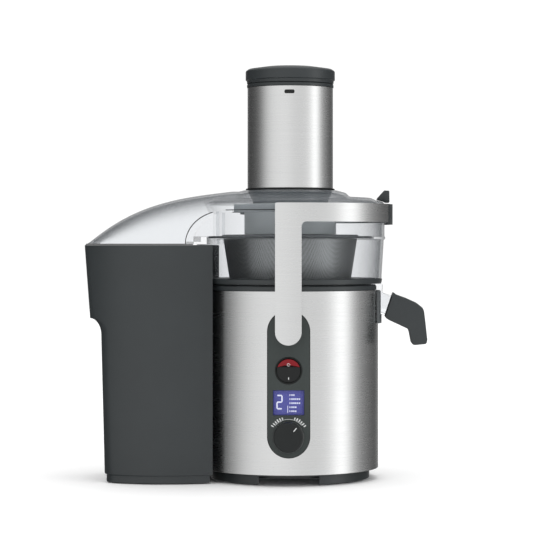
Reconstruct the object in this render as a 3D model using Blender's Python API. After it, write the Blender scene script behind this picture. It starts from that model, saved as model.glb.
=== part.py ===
"""Centrifugal juicer: motor base, clear bowl and lid, steel feed chute, pulp container and locking arm.

Metres, +Z up, front towards -Y. The origin is the middle of the footprint on the ground. Every shape is
drawn in the machine's own frame, whose Z axis is the motor's, and which stands AXIS_X from the origin.
"""

import math

import bmesh
import bpy
from mathutils import Matrix, Vector

# Driving dimensions.
AXIS_X = 0.03495
GAP = 0.0003  # kept between pieces that touch
ROUND = 36  # sides of the large round pieces
SMALL_ROUND = 20
TINY_ROUND = 12

BODY_RADIUS = 0.0925
BODY_BOTTOM = 0.0115
BODY_TOP = 0.1978
WRAP_THICKNESS = 0.0012
HOUSING_RADIUS = 0.0875
DECK_TOP = 0.1945
BASE_RADIUS = 0.0832
BASE_BOTTOM = 0.001
FOOT_CIRCLE = 0.066

BOWL_BOTTOM = 0.2045
BOWL_RADIUS = 0.0993
BOWL_TOP = 0.2803
BOWL_WALL = 0.003
SHELF_Z = 0.2535
SHELF_INNER = 0.088
THROAT_BOTTOM = 0.2456
THROAT_FLOOR = 0.2482

LID_BOTTOM = BOWL_TOP + GAP
LID_RADIUS = 0.0996
LID_WALL = 0.0025
LID_TOP = 0.302
DOME_BASE = 0.2456
DOME_HEIGHT = 0.0554
DOME_LEFT = -0.2115
CREST_X = -0.0606  # where the dome's ridge is as high as it gets
DOME_RIGHT = -0.0476
DOME_EXPONENT = 2.5  # of the superellipse across it
DOME_INSET = 0.0021  # of the dome and the throat from the container's outer face
SEAM_RIGHT = -0.065
SEAM_LEFT = -0.106

CHUTE_BORE = 0.0377
CHUTE_OUTER = 0.0393
CHUTE_BOTTOM = 0.228
CHUTE_TOP = 0.4097
COLLAR_TOP = 0.304
SKIRT_INNER = 0.0462
SKIRT_OUTER = 0.0483
SKIRT_BOTTOM = 0.256
SKIRT_TOP = 0.288
SLEEVE_RADIUS = 0.045
SLEEVE_INNER = 0.0441
PUSHER_RADIUS = 0.0371
PUSHER_BOTTOM = 0.236
CAP_RADIUS = 0.047
CAP_BOTTOM = 0.414
CAP_TOP = 0.432

ARM_INNER = 0.102
ARM_OUTER = 0.1078
ARM_WIDTH = 0.0267
PIVOT_Z = 0.1572
BAND_BOTTOM = 0.2685
BAND_TOP = 0.2875
PIN_RADIUS = 0.005

PANEL_WIDTH = 0.0424
PANEL_BOTTOM = 0.0297
PANEL_TOP = 0.1782
PANEL_RADIUS = 0.0928
PANEL_BACK = 0.088
ROCKER_Z = 0.1178
ROCKER_RADIUS = 0.0119
ROCKER_AXIS_Y = -0.0915
ROCKER_TILT = math.radians(6)
SCREEN_LOW = 0.0727
SCREEN_HIGH = 0.0976
SCREEN_WIDTH = 0.0313
DIAL_Z = 0.051
DIAL_RADIUS = 0.0157
DIAL_TURN = math.radians(40)
BOARD_Y = -0.078

SHAFT_RADIUS = 0.004
CRADLE_OUTER = 0.050
CRADLE_INNER = 0.0465

BASKET_FLOOR = 0.2168
SIEVE_BOTTOM = 0.2092
CONE_LOW_RADIUS = 0.064
CONE_HIGH_RADIUS = 0.0705
CONE_TOP = 0.2516
RIM_RADIUS = 0.0862
DISC_RADIUS = 0.060
DISC_BOTTOM = 0.2197
DISC_TOP = 0.2210

NOTCH_HALF = 0.021
SPOUT_SLOPE = math.radians(-18.6)
SPOUT_MOUTH = Vector((0.10735, 0.0, 0.1795))
NOZZLE_HALF = 0.0111
SPOUT_HALF_WIDTH = 0.0178
SPOUT_WALL = 0.0023

CONTAINER_BOTTOM = 0.001
CONTAINER_TOP = 0.2448
CONTAINER_REACH = 0.2136
CONTAINER_WALL = 0.0025
CONTAINER_DEPTH = 0.0725  # from the middle plane to the front of the bulge
BULGE_X = -0.130
BULGE_RIGHT_RADIUS = 0.157
BULGE_LEFT_RADIUS = 0.108
CORNER_RADIUS = 0.019
HOLLOW_RADIUS = 0.101
PLINTH_TOP = 0.0080
PLINTH_INSET = 0.0018
PLINTH_REACH = 0.1907  # reaches are to the left end, from the machine's axis
LOW_REACH = 0.1910
GRIP_BOTTOM = 0.152
GRIP_TOP = 0.169
GRIP_LOW_REACH = 0.1948
GRIP_HIGH_REACH = 0.2073

# name: colour, roughness, metallic, alpha
PALETTE = {
    "brushed_steel": ((0.60, 0.60, 0.59), 0.32, 1.0, 1.0),
    "bright_steel": ((0.72, 0.72, 0.72), 0.22, 1.0, 1.0),
    "dark_plastic": ((0.062, 0.070, 0.072), 0.45, 0.0, 1.0),
    "panel_plastic": ((0.070, 0.082, 0.080), 0.35, 0.0, 1.0),
    "black_plastic": ((0.020, 0.021, 0.022), 0.40, 0.0, 1.0),
    "grey_plastic": ((0.33, 0.34, 0.35), 0.45, 0.0, 1.0),
    "clear_plastic": ((0.90, 0.93, 0.95), 0.06, 0.0, 0.25),
    "bowl_plastic": ((0.62, 0.65, 0.67), 0.10, 0.0, 0.35),
    "red_lens": ((0.40, 0.010, 0.015), 0.20, 0.0, 1.0),
    "blue_screen": ((0.08, 0.08, 0.42), 0.20, 0.0, 1.0),
    "white_mark": ((0.85, 0.86, 0.86), 0.50, 0.0, 1.0),
    "rubber": ((0.018, 0.018, 0.018), 0.85, 0.0, 1.0),
    "copper": ((0.70, 0.32, 0.17), 0.35, 1.0, 1.0),
    "laminated_iron": ((0.25, 0.25, 0.26), 0.55, 1.0, 1.0),
    "circuit_board": ((0.02, 0.16, 0.06), 0.50, 0.0, 1.0),
}


def clear_scene():
    for obj in list(bpy.data.objects):
        bpy.data.objects.remove(obj, do_unlink=True)


def paint(name):
    """The named material, made the first time it is asked for."""
    if name in bpy.data.materials:
        return bpy.data.materials[name]
    colour, roughness, metallic, alpha = PALETTE[name]
    made = bpy.data.materials.new(name)
    made.use_nodes = True
    shader = made.node_tree.nodes["Principled BSDF"]
    shader.inputs["Base Color"].default_value = (*colour, 1.0)
    shader.inputs["Roughness"].default_value = roughness
    shader.inputs["Metallic"].default_value = metallic
    shader.inputs["Alpha"].default_value = alpha
    return made


def empty(name, location, parent=None):
    """A frame at a place given in the machine's frame."""
    frame = bpy.data.objects.new(name, None)
    bpy.context.scene.collection.objects.link(frame)
    frame.parent = parent
    frame["place"] = location
    offset = Vector(parent["place"]) if parent else Vector((0.0, 0.0, 0.0))
    frame.location = Vector(location) - offset
    return frame


def add(name, bm, frame, finish, cutter=False):
    """An object of a shape drawn in the machine's frame, with its origin on the frame it belongs to."""
    bmesh.ops.recalc_face_normals(bm, faces=bm.faces)
    bmesh.ops.translate(bm, verts=bm.verts, vec=-Vector(frame["place"]))
    mesh = bpy.data.meshes.new(name)
    bm.to_mesh(mesh)
    bm.free()
    mesh.shade_smooth()
    mesh.set_sharp_from_angle(angle=math.radians(35))
    obj = bpy.data.objects.new(name, mesh)
    bpy.context.scene.collection.objects.link(obj)
    obj.parent = frame
    if cutter:
        obj.hide_render = True
        obj.display_type = "WIRE"
    else:
        mesh.materials.append(paint(finish))
    return obj


def boolean(obj, operation, shape, frame):
    """Cuts, joins or trims an object with a shape drawn in the machine's frame."""
    tool = add(f"{obj.name}.tool", shape, frame, None, cutter=True)
    step = obj.modifiers.new(operation.lower(), "BOOLEAN")
    step.operation = operation
    step.object = tool


def cut(obj, frame, *shapes):
    for shape in shapes:
        boolean(obj, "DIFFERENCE", shape, frame)


def lathe(profile, sides=ROUND, centre=(0.0, 0.0)):
    """A profile of (radius, z) points turned about Z. It may begin and end on the axis, on flat faces."""
    bm = bmesh.new()
    points = [bm.verts.new((radius, 0.0, z)) for radius, z in profile]
    edges = [bm.edges.new(pair) for pair in zip(points, points[1:])]
    if profile[0][0] > 0.0:
        edges.append(bm.edges.new((points[-1], points[0])))
    bmesh.ops.spin(
        bm, geom=points + edges, cent=(0, 0, 0), axis=(0, 0, 1), angle=math.tau, steps=sides, use_merge=True
    )
    bmesh.ops.remove_doubles(bm, verts=bm.verts, dist=1e-6)
    hubs = [vert for vert in bm.verts if math.hypot(vert.co.x, vert.co.y) < 1e-6]
    bmesh.ops.dissolve_verts(bm, verts=hubs)
    bmesh.ops.translate(bm, verts=bm.verts, vec=(*centre, 0.0))
    return bm


def tube(inner, outer, low, high, sides=ROUND):
    return lathe([(inner, low), (outer, low), (outer, high), (inner, high)], sides)


def prism(outline, low, high, along="Z"):
    """An outline drawn flat and drawn out along an axis. Along Y its points are (x, z), along X (y, z)."""
    place = {
        "X": lambda a, b, depth: (depth, a, b),
        "Y": lambda a, b, depth: (a, depth, b),
        "Z": lambda a, b, depth: (a, b, depth),
    }[along]
    bm = bmesh.new()
    face = bm.faces.new([bm.verts.new(place(a, b, low)) for a, b in outline])
    grown = bmesh.ops.extrude_face_region(bm, geom=[face])["geom"]
    moved = [item for item in grown if isinstance(item, bmesh.types.BMVert)]
    bmesh.ops.translate(bm, verts=moved, vec=place(0.0, 0.0, high - low))
    return bm


def box(x, y, z):
    """A block between pairs of limits."""
    return prism([(x[0], y[0]), (x[1], y[0]), (x[1], y[1]), (x[0], y[1])], z[0], z[1])


def rod(radius, low, high, centre, along="Y", sides=SMALL_ROUND):
    """A round bar along X, Y or Z, centred at two coordinates across it."""
    return prism(arc(centre, radius, 0.0, math.tau, sides)[:-1], low, high, along)


def arc(centre, radius, start, end, steps):
    """Points from one angle to another, both ends included."""
    turn = (end - start) / steps
    angles = [start + turn * step for step in range(steps + 1)]
    return [(centre[0] + radius * math.cos(a), centre[1] + radius * math.sin(a)) for a in angles]


def obround(width, bottom, top, steps=12):
    """An upright slot shape, centred on x = 0."""
    radius = width / 2
    upper = arc((0.0, top - radius), radius, 0.0, math.pi, steps)
    lower = arc((0.0, bottom + radius), radius, math.pi, math.tau, steps)
    return upper + lower


def rounded_box(x, z, radius, steps=4):
    """A rectangle with round corners, as an outline."""
    corners = [(x[1], z[1], 0), (x[0], z[1], 1), (x[0], z[0], 2), (x[1], z[0], 3)]
    points = []
    for corner_x, corner_z, quarter in corners:
        centre = (
            corner_x - math.copysign(radius, corner_x - sum(x) / 2),
            corner_z - math.copysign(radius, corner_z - sum(z) / 2),
        )
        points += arc(centre, radius, quarter * math.pi / 2, (quarter + 1) * math.pi / 2, steps)
    return points


def loft(rings):
    """A closed skin through rings that have the same number of points."""
    bm = bmesh.new()
    rows = [[bm.verts.new(point) for point in ring] for ring in rings]
    count = len(rows[0])
    for lower, upper in zip(rows, rows[1:]):
        for index in range(count):
            after = (index + 1) % count
            bm.faces.new((lower[index], lower[after], upper[after], upper[index]))
    bm.faces.new(rows[0])
    bm.faces.new(rows[-1])
    return bm


def ring_sector(inner, outer, half_angle, low, high, steps=10):
    """Part of a ring, centred on the +X side."""
    outside = arc((0.0, 0.0), outer, -half_angle, half_angle, steps)
    inside = arc((0.0, 0.0), inner, half_angle, -half_angle, steps)
    return prism(outside + inside, low, high)


def merge(target, source):
    """Adds one shape's faces to another's."""
    scratch = bpy.data.meshes.new("scratch")
    source.to_mesh(scratch)
    source.free()
    target.from_mesh(scratch)
    bpy.data.meshes.remove(scratch)


# ---------------------------------------------------------------- base and motor housing


def base_plate(frame):
    """The plastic foot of the machine, hollow below, open at its front and pierced by air slots."""
    floor = 0.006
    hollow = BASE_RADIUS - 0.0065
    plate = add(
        "base_plate",
        lathe([(0.0, BASE_BOTTOM), (BASE_RADIUS, BASE_BOTTOM), (BASE_RADIUS, 0.0112), (0.0, 0.0112)]),
        frame,
        "dark_plastic",
    )
    cut(
        plate,
        frame,
        lathe([(0.0, -0.001), (hollow, -0.001), (hollow, floor), (0.0, floor)]),
        box((-0.031, 0.031), (-0.1, -0.066), (-0.001, 0.0095)),
    )
    slots = bmesh.new()
    for row in range(-3, 4):
        middle = row * 0.009
        merge(slots, box((-0.022, 0.022), (middle - 0.0018, middle + 0.0018), (0.0, 0.02)))
    cut(plate, frame, slots)


def rubber_feet(frame):
    for index in range(4):
        angle = math.radians(45 + 90 * index)
        centre = (FOOT_CIRCLE * math.cos(angle), FOOT_CIRCLE * math.sin(angle))
        profile = [(0.0, 0.0), (0.009, 0.0), (0.010, 0.001), (0.010, 0.0057), (0.0, 0.0057)]
        add(f"rubber_foot_{index + 1}", lathe(profile, TINY_ROUND, centre), frame, "rubber")


def outlet_recess():
    """The space at the right of the body's top edge that the bowl's juice outlet drops into."""
    return box((0.066, 0.1), (-NOTCH_HALF, NOTCH_HALF), (0.1640, 0.2100))


def rear_holes():
    """Openings in the rear wall for the arm's pivot pin and for the cord gland."""
    return (
        rod(PIN_RADIUS + GAP, 0.07, 0.1, (0.0, PIVOT_Z), sides=TINY_ROUND),
        rod(0.0074, 0.07, 0.1, (-0.030, 0.026), sides=TINY_ROUND),
    )


def motor_housing(frame):
    """The plastic tub inside the steel, upside down, with the deck that the bowl stands over."""
    inner = HOUSING_RADIUS - 0.0025
    flange = BODY_RADIUS - WRAP_THICKNESS - GAP
    profile = [
        (inner, 0.0118), (flange, 0.0118), (flange, 0.016), (HOUSING_RADIUS, 0.0175),
        (HOUSING_RADIUS, 0.189), (flange, 0.190), (flange, 0.1974), (0.088, 0.1974),
        (0.0875, DECK_TOP), (0.020, DECK_TOP), (0.020, 0.191), (inner, 0.191),
    ]
    tub = add("motor_housing", lathe(profile), frame, "black_plastic")
    cut(
        tub,
        frame,
        box((-0.0235, 0.0235), (-0.1, -0.06), (0.026, 0.182)),
        outlet_recess(),
        *rear_holes(),
    )


def steel_wrap(frame):
    """The brushed sheet round the body."""
    wrap = add(
        "steel_wrap",
        tube(BODY_RADIUS - WRAP_THICKNESS, BODY_RADIUS, BODY_BOTTOM, BODY_TOP),
        frame,
        "brushed_steel",
    )
    opening = obround(PANEL_WIDTH + 2 * GAP, PANEL_BOTTOM - GAP, PANEL_TOP + GAP)
    cut(wrap, frame, prism(opening, -0.1, -0.06, "Y"), outlet_recess(), *rear_holes())


def top_ring(frame):
    """The dark ring between the steel and the bowl, with the step that carries the bowl."""
    profile = [
        (0.060, BODY_TOP + GAP), (0.0936, BODY_TOP + GAP), (0.0936, 0.2022), (0.0928, 0.2030),
        (0.086, 0.2030), (0.086, BOWL_BOTTOM - GAP), (0.060, BOWL_BOTTOM - GAP),
    ]
    ring = add("top_ring", lathe(profile), frame, "dark_plastic")
    cut(ring, frame, box((0.05, 0.1), (-0.025, 0.025), (0.19, 0.21)))


def shaft_seal(frame):
    add("shaft_seal", tube(0.0162, 0.0197, 0.1900, 0.1962, SMALL_ROUND), frame, "rubber")


def cord_gland(frame):
    """The strain relief that the mains cord comes out of, at the back near the ground."""
    centre = (-0.030, 0.026)
    gland = add("cord_gland", rod(0.0070, 0.070, 0.1035, centre, sides=TINY_ROUND), frame, "rubber")
    boolean(gland, "UNION", rod(0.0100, 0.0915, 0.0945, centre, sides=TINY_ROUND), frame)
    cut(gland, frame, rod(0.0036, 0.06, 0.11, centre, sides=TINY_ROUND))


# ---------------------------------------------------------------- motor


def motor_stator(frame):
    """The cradle, the laminated stator with its winding, the bearings and the bridge over them."""
    cradle = [
        (0.0114, 0.024), (0.040, 0.024), (0.040, 0.0118), (CRADLE_OUTER, 0.0118), (CRADLE_OUTER, 0.150),
        (CRADLE_INNER, 0.150), (CRADLE_INNER, 0.030), (0.0114, 0.030),
    ]
    add("motor_cradle", lathe(cradle, SMALL_ROUND), frame, "grey_plastic")
    add("stator_core", tube(0.0316, 0.0460, 0.062, 0.112, SMALL_ROUND), frame, "laminated_iron")
    add("stator_winding_low", tube(0.0330, 0.0440, 0.050, 0.0617, SMALL_ROUND), frame, "copper")
    add("stator_winding_high", tube(0.0330, 0.0440, 0.1123, 0.124, SMALL_ROUND), frame, "copper")
    bridge = [(0.0114, 0.1503), (0.052, 0.1503), (0.052, 0.1560), (0.0114, 0.1560)]
    add("motor_bridge", lathe(bridge, SMALL_ROUND), frame, "grey_plastic")
    add("bearing_low", tube(SHAFT_RADIUS + GAP, 0.0111, 0.0235, 0.0310, TINY_ROUND), frame, "bright_steel")
    add("bearing_high", tube(SHAFT_RADIUS + GAP, 0.0111, 0.1500, 0.1570, TINY_ROUND), frame, "bright_steel")


def motor_rotor(frame):
    """What the motor turns: the shaft, the rotor, the cooling fan and the drive coupling."""
    bore = SHAFT_RADIUS + GAP
    add("motor_shaft", rod(SHAFT_RADIUS, 0.022, 0.206, (0.0, 0.0), "Z", TINY_ROUND), frame, "bright_steel")
    add("rotor_core", tube(bore, 0.0306, 0.060, 0.114, SMALL_ROUND), frame, "laminated_iron")
    outline = []
    blades = 9
    for blade in range(blades):
        angle = math.tau * blade / blades
        for radius, turn in ((0.011, -0.30), (0.042, -0.06), (0.042, 0.06), (0.011, 0.04)):
            outline.append((radius * math.cos(angle + turn), radius * math.sin(angle + turn)))
    fan = add("cooling_fan", prism(outline, 0.128, 0.142), frame, "black_plastic")
    cut(fan, frame, rod(bore, 0.12, 0.15, (0.0, 0.0), "Z", TINY_ROUND))
    coupling = [
        (bore, 0.1965), (0.0150, 0.1965), (0.0150, 0.2035), (0.0112, 0.2045), (0.0104, 0.2140),
        (0.0, 0.2140), (0.0, 0.2063), (bore, 0.2063),
    ]
    add("drive_coupling", lathe(coupling[-2:] + coupling[:-2], SMALL_ROUND), frame, "black_plastic")


# ---------------------------------------------------------------- controls


def control_panel(frame):
    """The upright panel let into the steel, curved with the body."""
    shell = tube(PANEL_BACK, PANEL_RADIUS, 0.02, 0.19)
    panel = add("control_panel", shell, frame, "panel_plastic")
    outline = prism(obround(PANEL_WIDTH, PANEL_BOTTOM, PANEL_TOP), -0.1, -0.06, "Y")
    boolean(panel, "INTERSECT", outline, frame)
    window = rounded_box(
        (-SCREEN_WIDTH / 2 - GAP, SCREEN_WIDTH / 2 + GAP), (SCREEN_LOW - GAP, SCREEN_HIGH + GAP), 0.001, 2
    )
    cut(
        panel,
        frame,
        prism(window, -0.1, -0.07, "Y"),
        rod(0.0139, -0.1, -0.07, (0.0, ROCKER_Z)),
        rod(0.0036, -0.1, -0.07, (0.0, DIAL_Z), sides=TINY_ROUND),
        rod(PIN_RADIUS + GAP, -0.1, -0.07, (0.0, PIVOT_Z), sides=TINY_ROUND),
    )


def display(frame):
    """The screen and the curved window over it."""
    half = SCREEN_WIDTH / 2
    add(
        "display_module",
        box((-half, half), (-0.0877, BOARD_Y - GAP), (SCREEN_LOW, SCREEN_HIGH)),
        frame,
        "blue_screen",
    )
    window = add("display_window", tube(0.0898, PANEL_RADIUS, 0.06, 0.11), frame, "clear_plastic")
    outline = rounded_box((-half, half), (SCREEN_LOW, SCREEN_HIGH), 0.001, 2)
    boolean(window, "INTERSECT", prism(outline, -0.1, -0.06, "Y"), frame)


def power_switch(frame, rocker_frame):
    """The round rocker, its red window, the bezel round it and the switch body behind."""
    bezel = add("switch_bezel", rod(0.0136, -0.0965, -0.0882, (0.0, ROCKER_Z)), frame, "black_plastic")
    cut(bezel, frame, rod(0.0125, -0.1, -0.08, (0.0, ROCKER_Z)))
    boolean(bezel, "INTERSECT", tube(0.0850, 0.0934, 0.09, 0.14), frame)
    body = rod(0.0119, -0.0874, BOARD_Y - GAP, (0.0, ROCKER_Z))
    add("switch_body", body, frame, "black_plastic")
    front, back = -0.0938, -0.0892
    centre = (0.0, ROCKER_Z)
    rocker = add("rocker_switch", rod(ROCKER_RADIUS, front, back, centre), rocker_frame, "black_plastic")
    bound = math.radians(12)
    upper = arc(centre, ROCKER_RADIUS + 0.002, bound, math.pi - bound, 10)
    lower = arc((0.0, ROCKER_Z - 0.0241), 0.0296, math.radians(113), math.radians(67), 8)
    cut(rocker, rocker_frame, prism(upper + lower, front - 0.001, front + 0.0018, "Y"))
    lens = add(
        "rocker_lens", rod(ROCKER_RADIUS - 0.0001, front, front + 0.0015, centre), rocker_frame, "red_lens"
    )
    raised = [(x, z + GAP) for x, z in lower]
    boolean(lens, "INTERSECT", prism(upper + raised, front - 0.001, front + 0.003, "Y"), rocker_frame)


def speed_dial(frame, dial_frame):
    """The knob with its pointer, on the shaft of the selector behind the panel."""
    centre = (0.0, DIAL_Z)
    knob = add("dial_knob", dial_shape(), dial_frame, "panel_plastic")
    slot = box((-0.0007, 0.0007), (-0.12, -0.1050), (DIAL_Z + 0.0079, DIAL_Z + 0.0131))
    cut(knob, dial_frame, slot)
    add(
        "dial_pointer",
        box((-0.0004, 0.0004), (-0.1061, -0.1053), (DIAL_Z + 0.0082, DIAL_Z + 0.0128)),
        dial_frame,
        "white_mark",
    )
    shaft = rod(0.0030, -0.1017, -0.0820, centre, sides=TINY_ROUND)
    add("dial_shaft", shaft, dial_frame, "bright_steel")
    case = box((-0.011, 0.011), (-0.0865, BOARD_Y - GAP), (0.040, 0.062))
    selector = add("speed_selector", case, frame, "black_plastic")
    cut(selector, frame, rod(0.0033, -0.1, -0.0815, centre, sides=TINY_ROUND))


def dial_shape():
    """The knob's turned shape, laid with its face to the front."""
    bore = 0.0033
    bore_top = 0.0088
    profile = [
        (0.0, bore_top), (bore, bore_top), (bore, 0.0), (DIAL_RADIUS, 0.0), (DIAL_RADIUS, 0.0095),
        (0.0150, 0.0120), (0.0138, 0.0128), (0.0, 0.0128),
    ]
    bm = lathe(profile, 24)
    lay = Matrix.Translation((0.0, -0.0933, DIAL_Z)) @ Matrix.Rotation(math.pi / 2, 4, "X")
    bmesh.ops.transform(bm, matrix=lay, verts=bm.verts)
    return bm


def control_board(frame):
    board = box((-0.020, 0.020), (BOARD_Y, BOARD_Y + 0.0016), (0.036, 0.136))
    add("control_board", board, frame, "circuit_board")


def interlock_switch(frame):
    """The switch inside the back wall that the arm's rear pivot works."""
    add("interlock_switch", box((-0.008, 0.008), (0.062, 0.0745), (0.146, 0.170)), frame, "black_plastic")


# ---------------------------------------------------------------- locking arm


def locking_arm(frame, arm_frame):
    """The steel arm: two legs joined by a band that goes round the right of the lid."""
    half = ARM_WIDTH / 2
    corner = 0.005
    top_corner = 0.002
    far = 0.115
    outline = (
        arc((0.0, PIVOT_Z), half, math.pi, math.tau, 12)
        + arc((half + corner, BAND_BOTTOM - corner), corner, math.pi, math.pi / 2, 5)
        + [(far, BAND_BOTTOM), (far, BAND_TOP)]
        + arc((-half + top_corner, BAND_TOP - top_corner), top_corner, math.pi / 2, math.pi, 3)
    )
    arm = add("locking_arm", tube(ARM_INNER, ARM_OUTER, 0.13, 0.30), arm_frame, "brushed_steel")
    boolean(arm, "INTERSECT", prism(outline, -0.12, 0.12, "Y"), arm_frame)
    grip_angle = math.radians(18)
    grip_inner = 0.1050
    grip_bottom = BAND_BOTTOM - 0.0023
    recess = ring_sector(grip_inner - GAP, 0.112, grip_angle + 0.003, 0.26, 0.30)
    pin_hole = PIN_RADIUS + GAP
    cut(
        arm,
        arm_frame,
        recess,
        rod(pin_hole, -0.1053, -0.095, (0.0, PIVOT_Z), sides=TINY_ROUND),
        rod(pin_hole, 0.095, 0.1053, (0.0, PIVOT_Z), sides=TINY_ROUND),
    )
    grip = ring_sector(grip_inner, ARM_OUTER, grip_angle, grip_bottom, BAND_TOP)
    add("arm_grip", grip, arm_frame, "dark_plastic")
    for side, name in ((-1, "front"), (1, "rear")):
        pivot(frame, name, side)


def pivot(frame, name, side):
    """The fixed pin that one leg turns on, with the bush between the leg and the body."""

    def along(near, far):
        return tuple(sorted((side * near, side * far)))

    centre = (0.0, PIVOT_Z)
    pin = rod(PIN_RADIUS, *along(0.0785, 0.1050), centre, sides=TINY_ROUND)
    add(f"pivot_pin_{name}", pin, frame, "bright_steel")
    bush = add(f"pivot_bush_{name}", rod(0.0095, *along(0.0932, 0.1008), centre), frame, "black_plastic")
    cut(bush, frame, rod(PIN_RADIUS + GAP, *along(0.09, 0.11), centre, sides=TINY_ROUND))


# ---------------------------------------------------------------- pulp container


def container_outline(reach, inset=0.0):
    """The container's plan: three arcs along the front, the same along the back, hollow to the right."""
    bulge_right = BULGE_RIGHT_RADIUS - inset
    bulge_left = BULGE_LEFT_RADIUS - inset
    corner = CORNER_RADIUS - inset
    hollow = HOLLOW_RADIUS + inset
    right_centre = (BULGE_X, -CONTAINER_DEPTH + BULGE_RIGHT_RADIUS)
    left_centre = (BULGE_X, -CONTAINER_DEPTH + BULGE_LEFT_RADIUS)
    horn = circle_crossing(right_centre, bulge_right, hollow)
    start = math.atan2(horn[1] - right_centre[1], horn[0] - right_centre[0])
    lean = math.asin((reach + BULGE_X - CORNER_RADIUS) / (BULGE_LEFT_RADIUS - CORNER_RADIUS))
    turn = -math.pi / 2 - lean
    apart = BULGE_LEFT_RADIUS - CORNER_RADIUS
    corner_centre = (left_centre[0] + apart * math.cos(turn), left_centre[1] + apart * math.sin(turn))
    front = (
        arc(right_centre, bulge_right, start, -math.pi / 2, 4)[:-1]
        + arc(left_centre, bulge_left, -math.pi / 2, turn, 5)[:-1]
        + arc(corner_centre, corner, turn, -math.pi, 3)
    )
    back = [(x, -y) for x, y in reversed(front)]
    horn_angle = math.atan2(horn[1], horn[0])
    inside = arc((0.0, 0.0), hollow, -horn_angle, math.tau + horn_angle, 9)[1:-1]
    return front + back + inside


def circle_crossing(centre, radius, about_axis):
    """Where a circle meets one about the machine's axis, on the front side."""
    apart = math.hypot(*centre)
    along = (about_axis**2 - radius**2 + apart**2) / (2 * apart)
    across = math.sqrt(about_axis**2 - along**2)
    toward = (centre[0] / apart, centre[1] / apart)
    return (toward[0] * along - toward[1] * across, toward[1] * along + toward[0] * across)


def container_rings(inset, foot, top):
    """Levels of the container's skin: what is below the finger grip, the grip and the flared top."""
    grip = GRIP_BOTTOM + inset
    levels = foot + [(grip, 0.0, GRIP_LOW_REACH)]
    steps = 4
    for step in range(1, steps + 1):
        angle = math.pi / 2 * step / steps
        reach = GRIP_HIGH_REACH - (GRIP_HIGH_REACH - GRIP_LOW_REACH) * math.cos(angle)
        levels.append((grip + (GRIP_TOP - GRIP_BOTTOM) * math.sin(angle), 0.0, reach))
    levels.append((top, 0.0, CONTAINER_REACH))
    return [
        [(x, y, z) for x, y in container_outline(reach, inset + extra)] for z, extra, reach in levels
    ]


def pulp_container(frame):
    """The tall open bin that stands on the ground at the left of the body."""
    plinth = [
        (CONTAINER_BOTTOM, PLINTH_INSET, PLINTH_REACH), (PLINTH_TOP, PLINTH_INSET, PLINTH_REACH),
        (PLINTH_TOP + 0.0016, 0.0, LOW_REACH),
    ]
    skin = loft(container_rings(0.0, plinth, CONTAINER_TOP))
    container = add("pulp_container", skin, frame, "dark_plastic")
    floor = [(CONTAINER_BOTTOM + 2 * CONTAINER_WALL, 0.0, LOW_REACH)]
    cut(container, frame, loft(container_rings(CONTAINER_WALL, floor, CONTAINER_TOP + 0.01)))


# ---------------------------------------------------------------- bowl and basket


def throat_plan(inset, right, left=SEAM_LEFT):
    """Plan of the pulp throat, between the same arcs as the container's front and back."""
    steps = 5
    front = []
    for step in range(steps + 1):
        x = right + (left - right) * step / steps
        front.append((x, -half_width(x, inset)))
    return front + [(x, -y) for x, y in reversed(front)]


def half_width(x, inset):
    """Half the width of the container's plan at a place along it, within its walls."""
    radius = BULGE_RIGHT_RADIUS if x > BULGE_X else BULGE_LEFT_RADIUS
    return math.sqrt((radius - inset) ** 2 - (x - BULGE_X) ** 2) - (radius - CONTAINER_DEPTH)


def seam(shift):
    """The curve from the lid's edge down to the container's rim, where lid and bowl meet."""
    points = []
    steps = 10
    low = THROAT_BOTTOM + shift
    high = BOWL_TOP + shift
    for step in range(steps + 1):
        angle = math.pi / 2 * step / steps
        x = SEAM_RIGHT - shift + (SEAM_LEFT - SEAM_RIGHT) * math.sin(angle)
        points.append((x, low + (high - low) * math.cos(angle)))
    return points


def filter_bowl(frame):
    """The bowl: juice channel round the bottom, pulp shelf above it and the throat to the left."""
    outer_low = 0.0959
    inner_low = outer_low - BOWL_WALL
    inner = BOWL_RADIUS - BOWL_WALL
    floor = BOWL_BOTTOM + BOWL_WALL
    profile = [
        (0.0222, BOWL_BOTTOM), (0.0950, BOWL_BOTTOM), (outer_low, 0.2070), (0.0985, 0.2500),
        (0.1000, 0.2512), (0.1000, 0.2530), (BOWL_RADIUS, 0.2542), (BOWL_RADIUS, BOWL_TOP),
        (inner, BOWL_TOP), (inner, SHELF_Z), (SHELF_INNER, SHELF_Z), (SHELF_INNER, SHELF_Z - 0.0022),
        (0.0955, SHELF_Z - 0.0027), (inner_low, floor + 0.001), (inner_low - 0.001, floor),
        (0.0255, floor), (0.0255, 0.2160), (0.0222, 0.2160),
    ]
    bowl = add("filter_bowl", lathe(profile), frame, "bowl_plastic")
    throat = prism(throat_plan(DOME_INSET, -0.072), THROAT_BOTTOM, BOWL_TOP - 0.0001)
    boolean(bowl, "UNION", throat, frame)
    above_seam = seam(0.0) + [(-0.2, THROAT_BOTTOM), (-0.2, 0.3), (SEAM_RIGHT, 0.3)]
    clear_of_basket = lathe([(0.0, 0.240), (SHELF_INNER, 0.240), (SHELF_INNER, 0.300), (0.0, 0.300)])
    cheek = DOME_INSET + 0.0025
    pulp_way = prism(throat_plan(cheek, -0.060, -0.110), SHELF_Z, 0.30)
    fall = prism(throat_plan(cheek, -0.098, -0.110), THROAT_FLOOR, 0.30)
    juice_hole = box((0.0730, 0.0890), (-0.015, 0.015), (0.20, 0.2085))
    cut(bowl, frame, clear_of_basket, pulp_way, fall, juice_hole, prism(above_seam, -0.1, 0.1, "Y"))


def along_spout(distance, height):
    """A point (x, z) on the spout's inlet axis, raised across it."""
    u = (math.cos(SPOUT_SLOPE), math.sin(SPOUT_SLOPE))
    return (
        SPOUT_MOUTH.x + u[0] * distance - u[1] * height,
        SPOUT_MOUTH.z + u[1] * distance + u[0] * height,
    )


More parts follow.
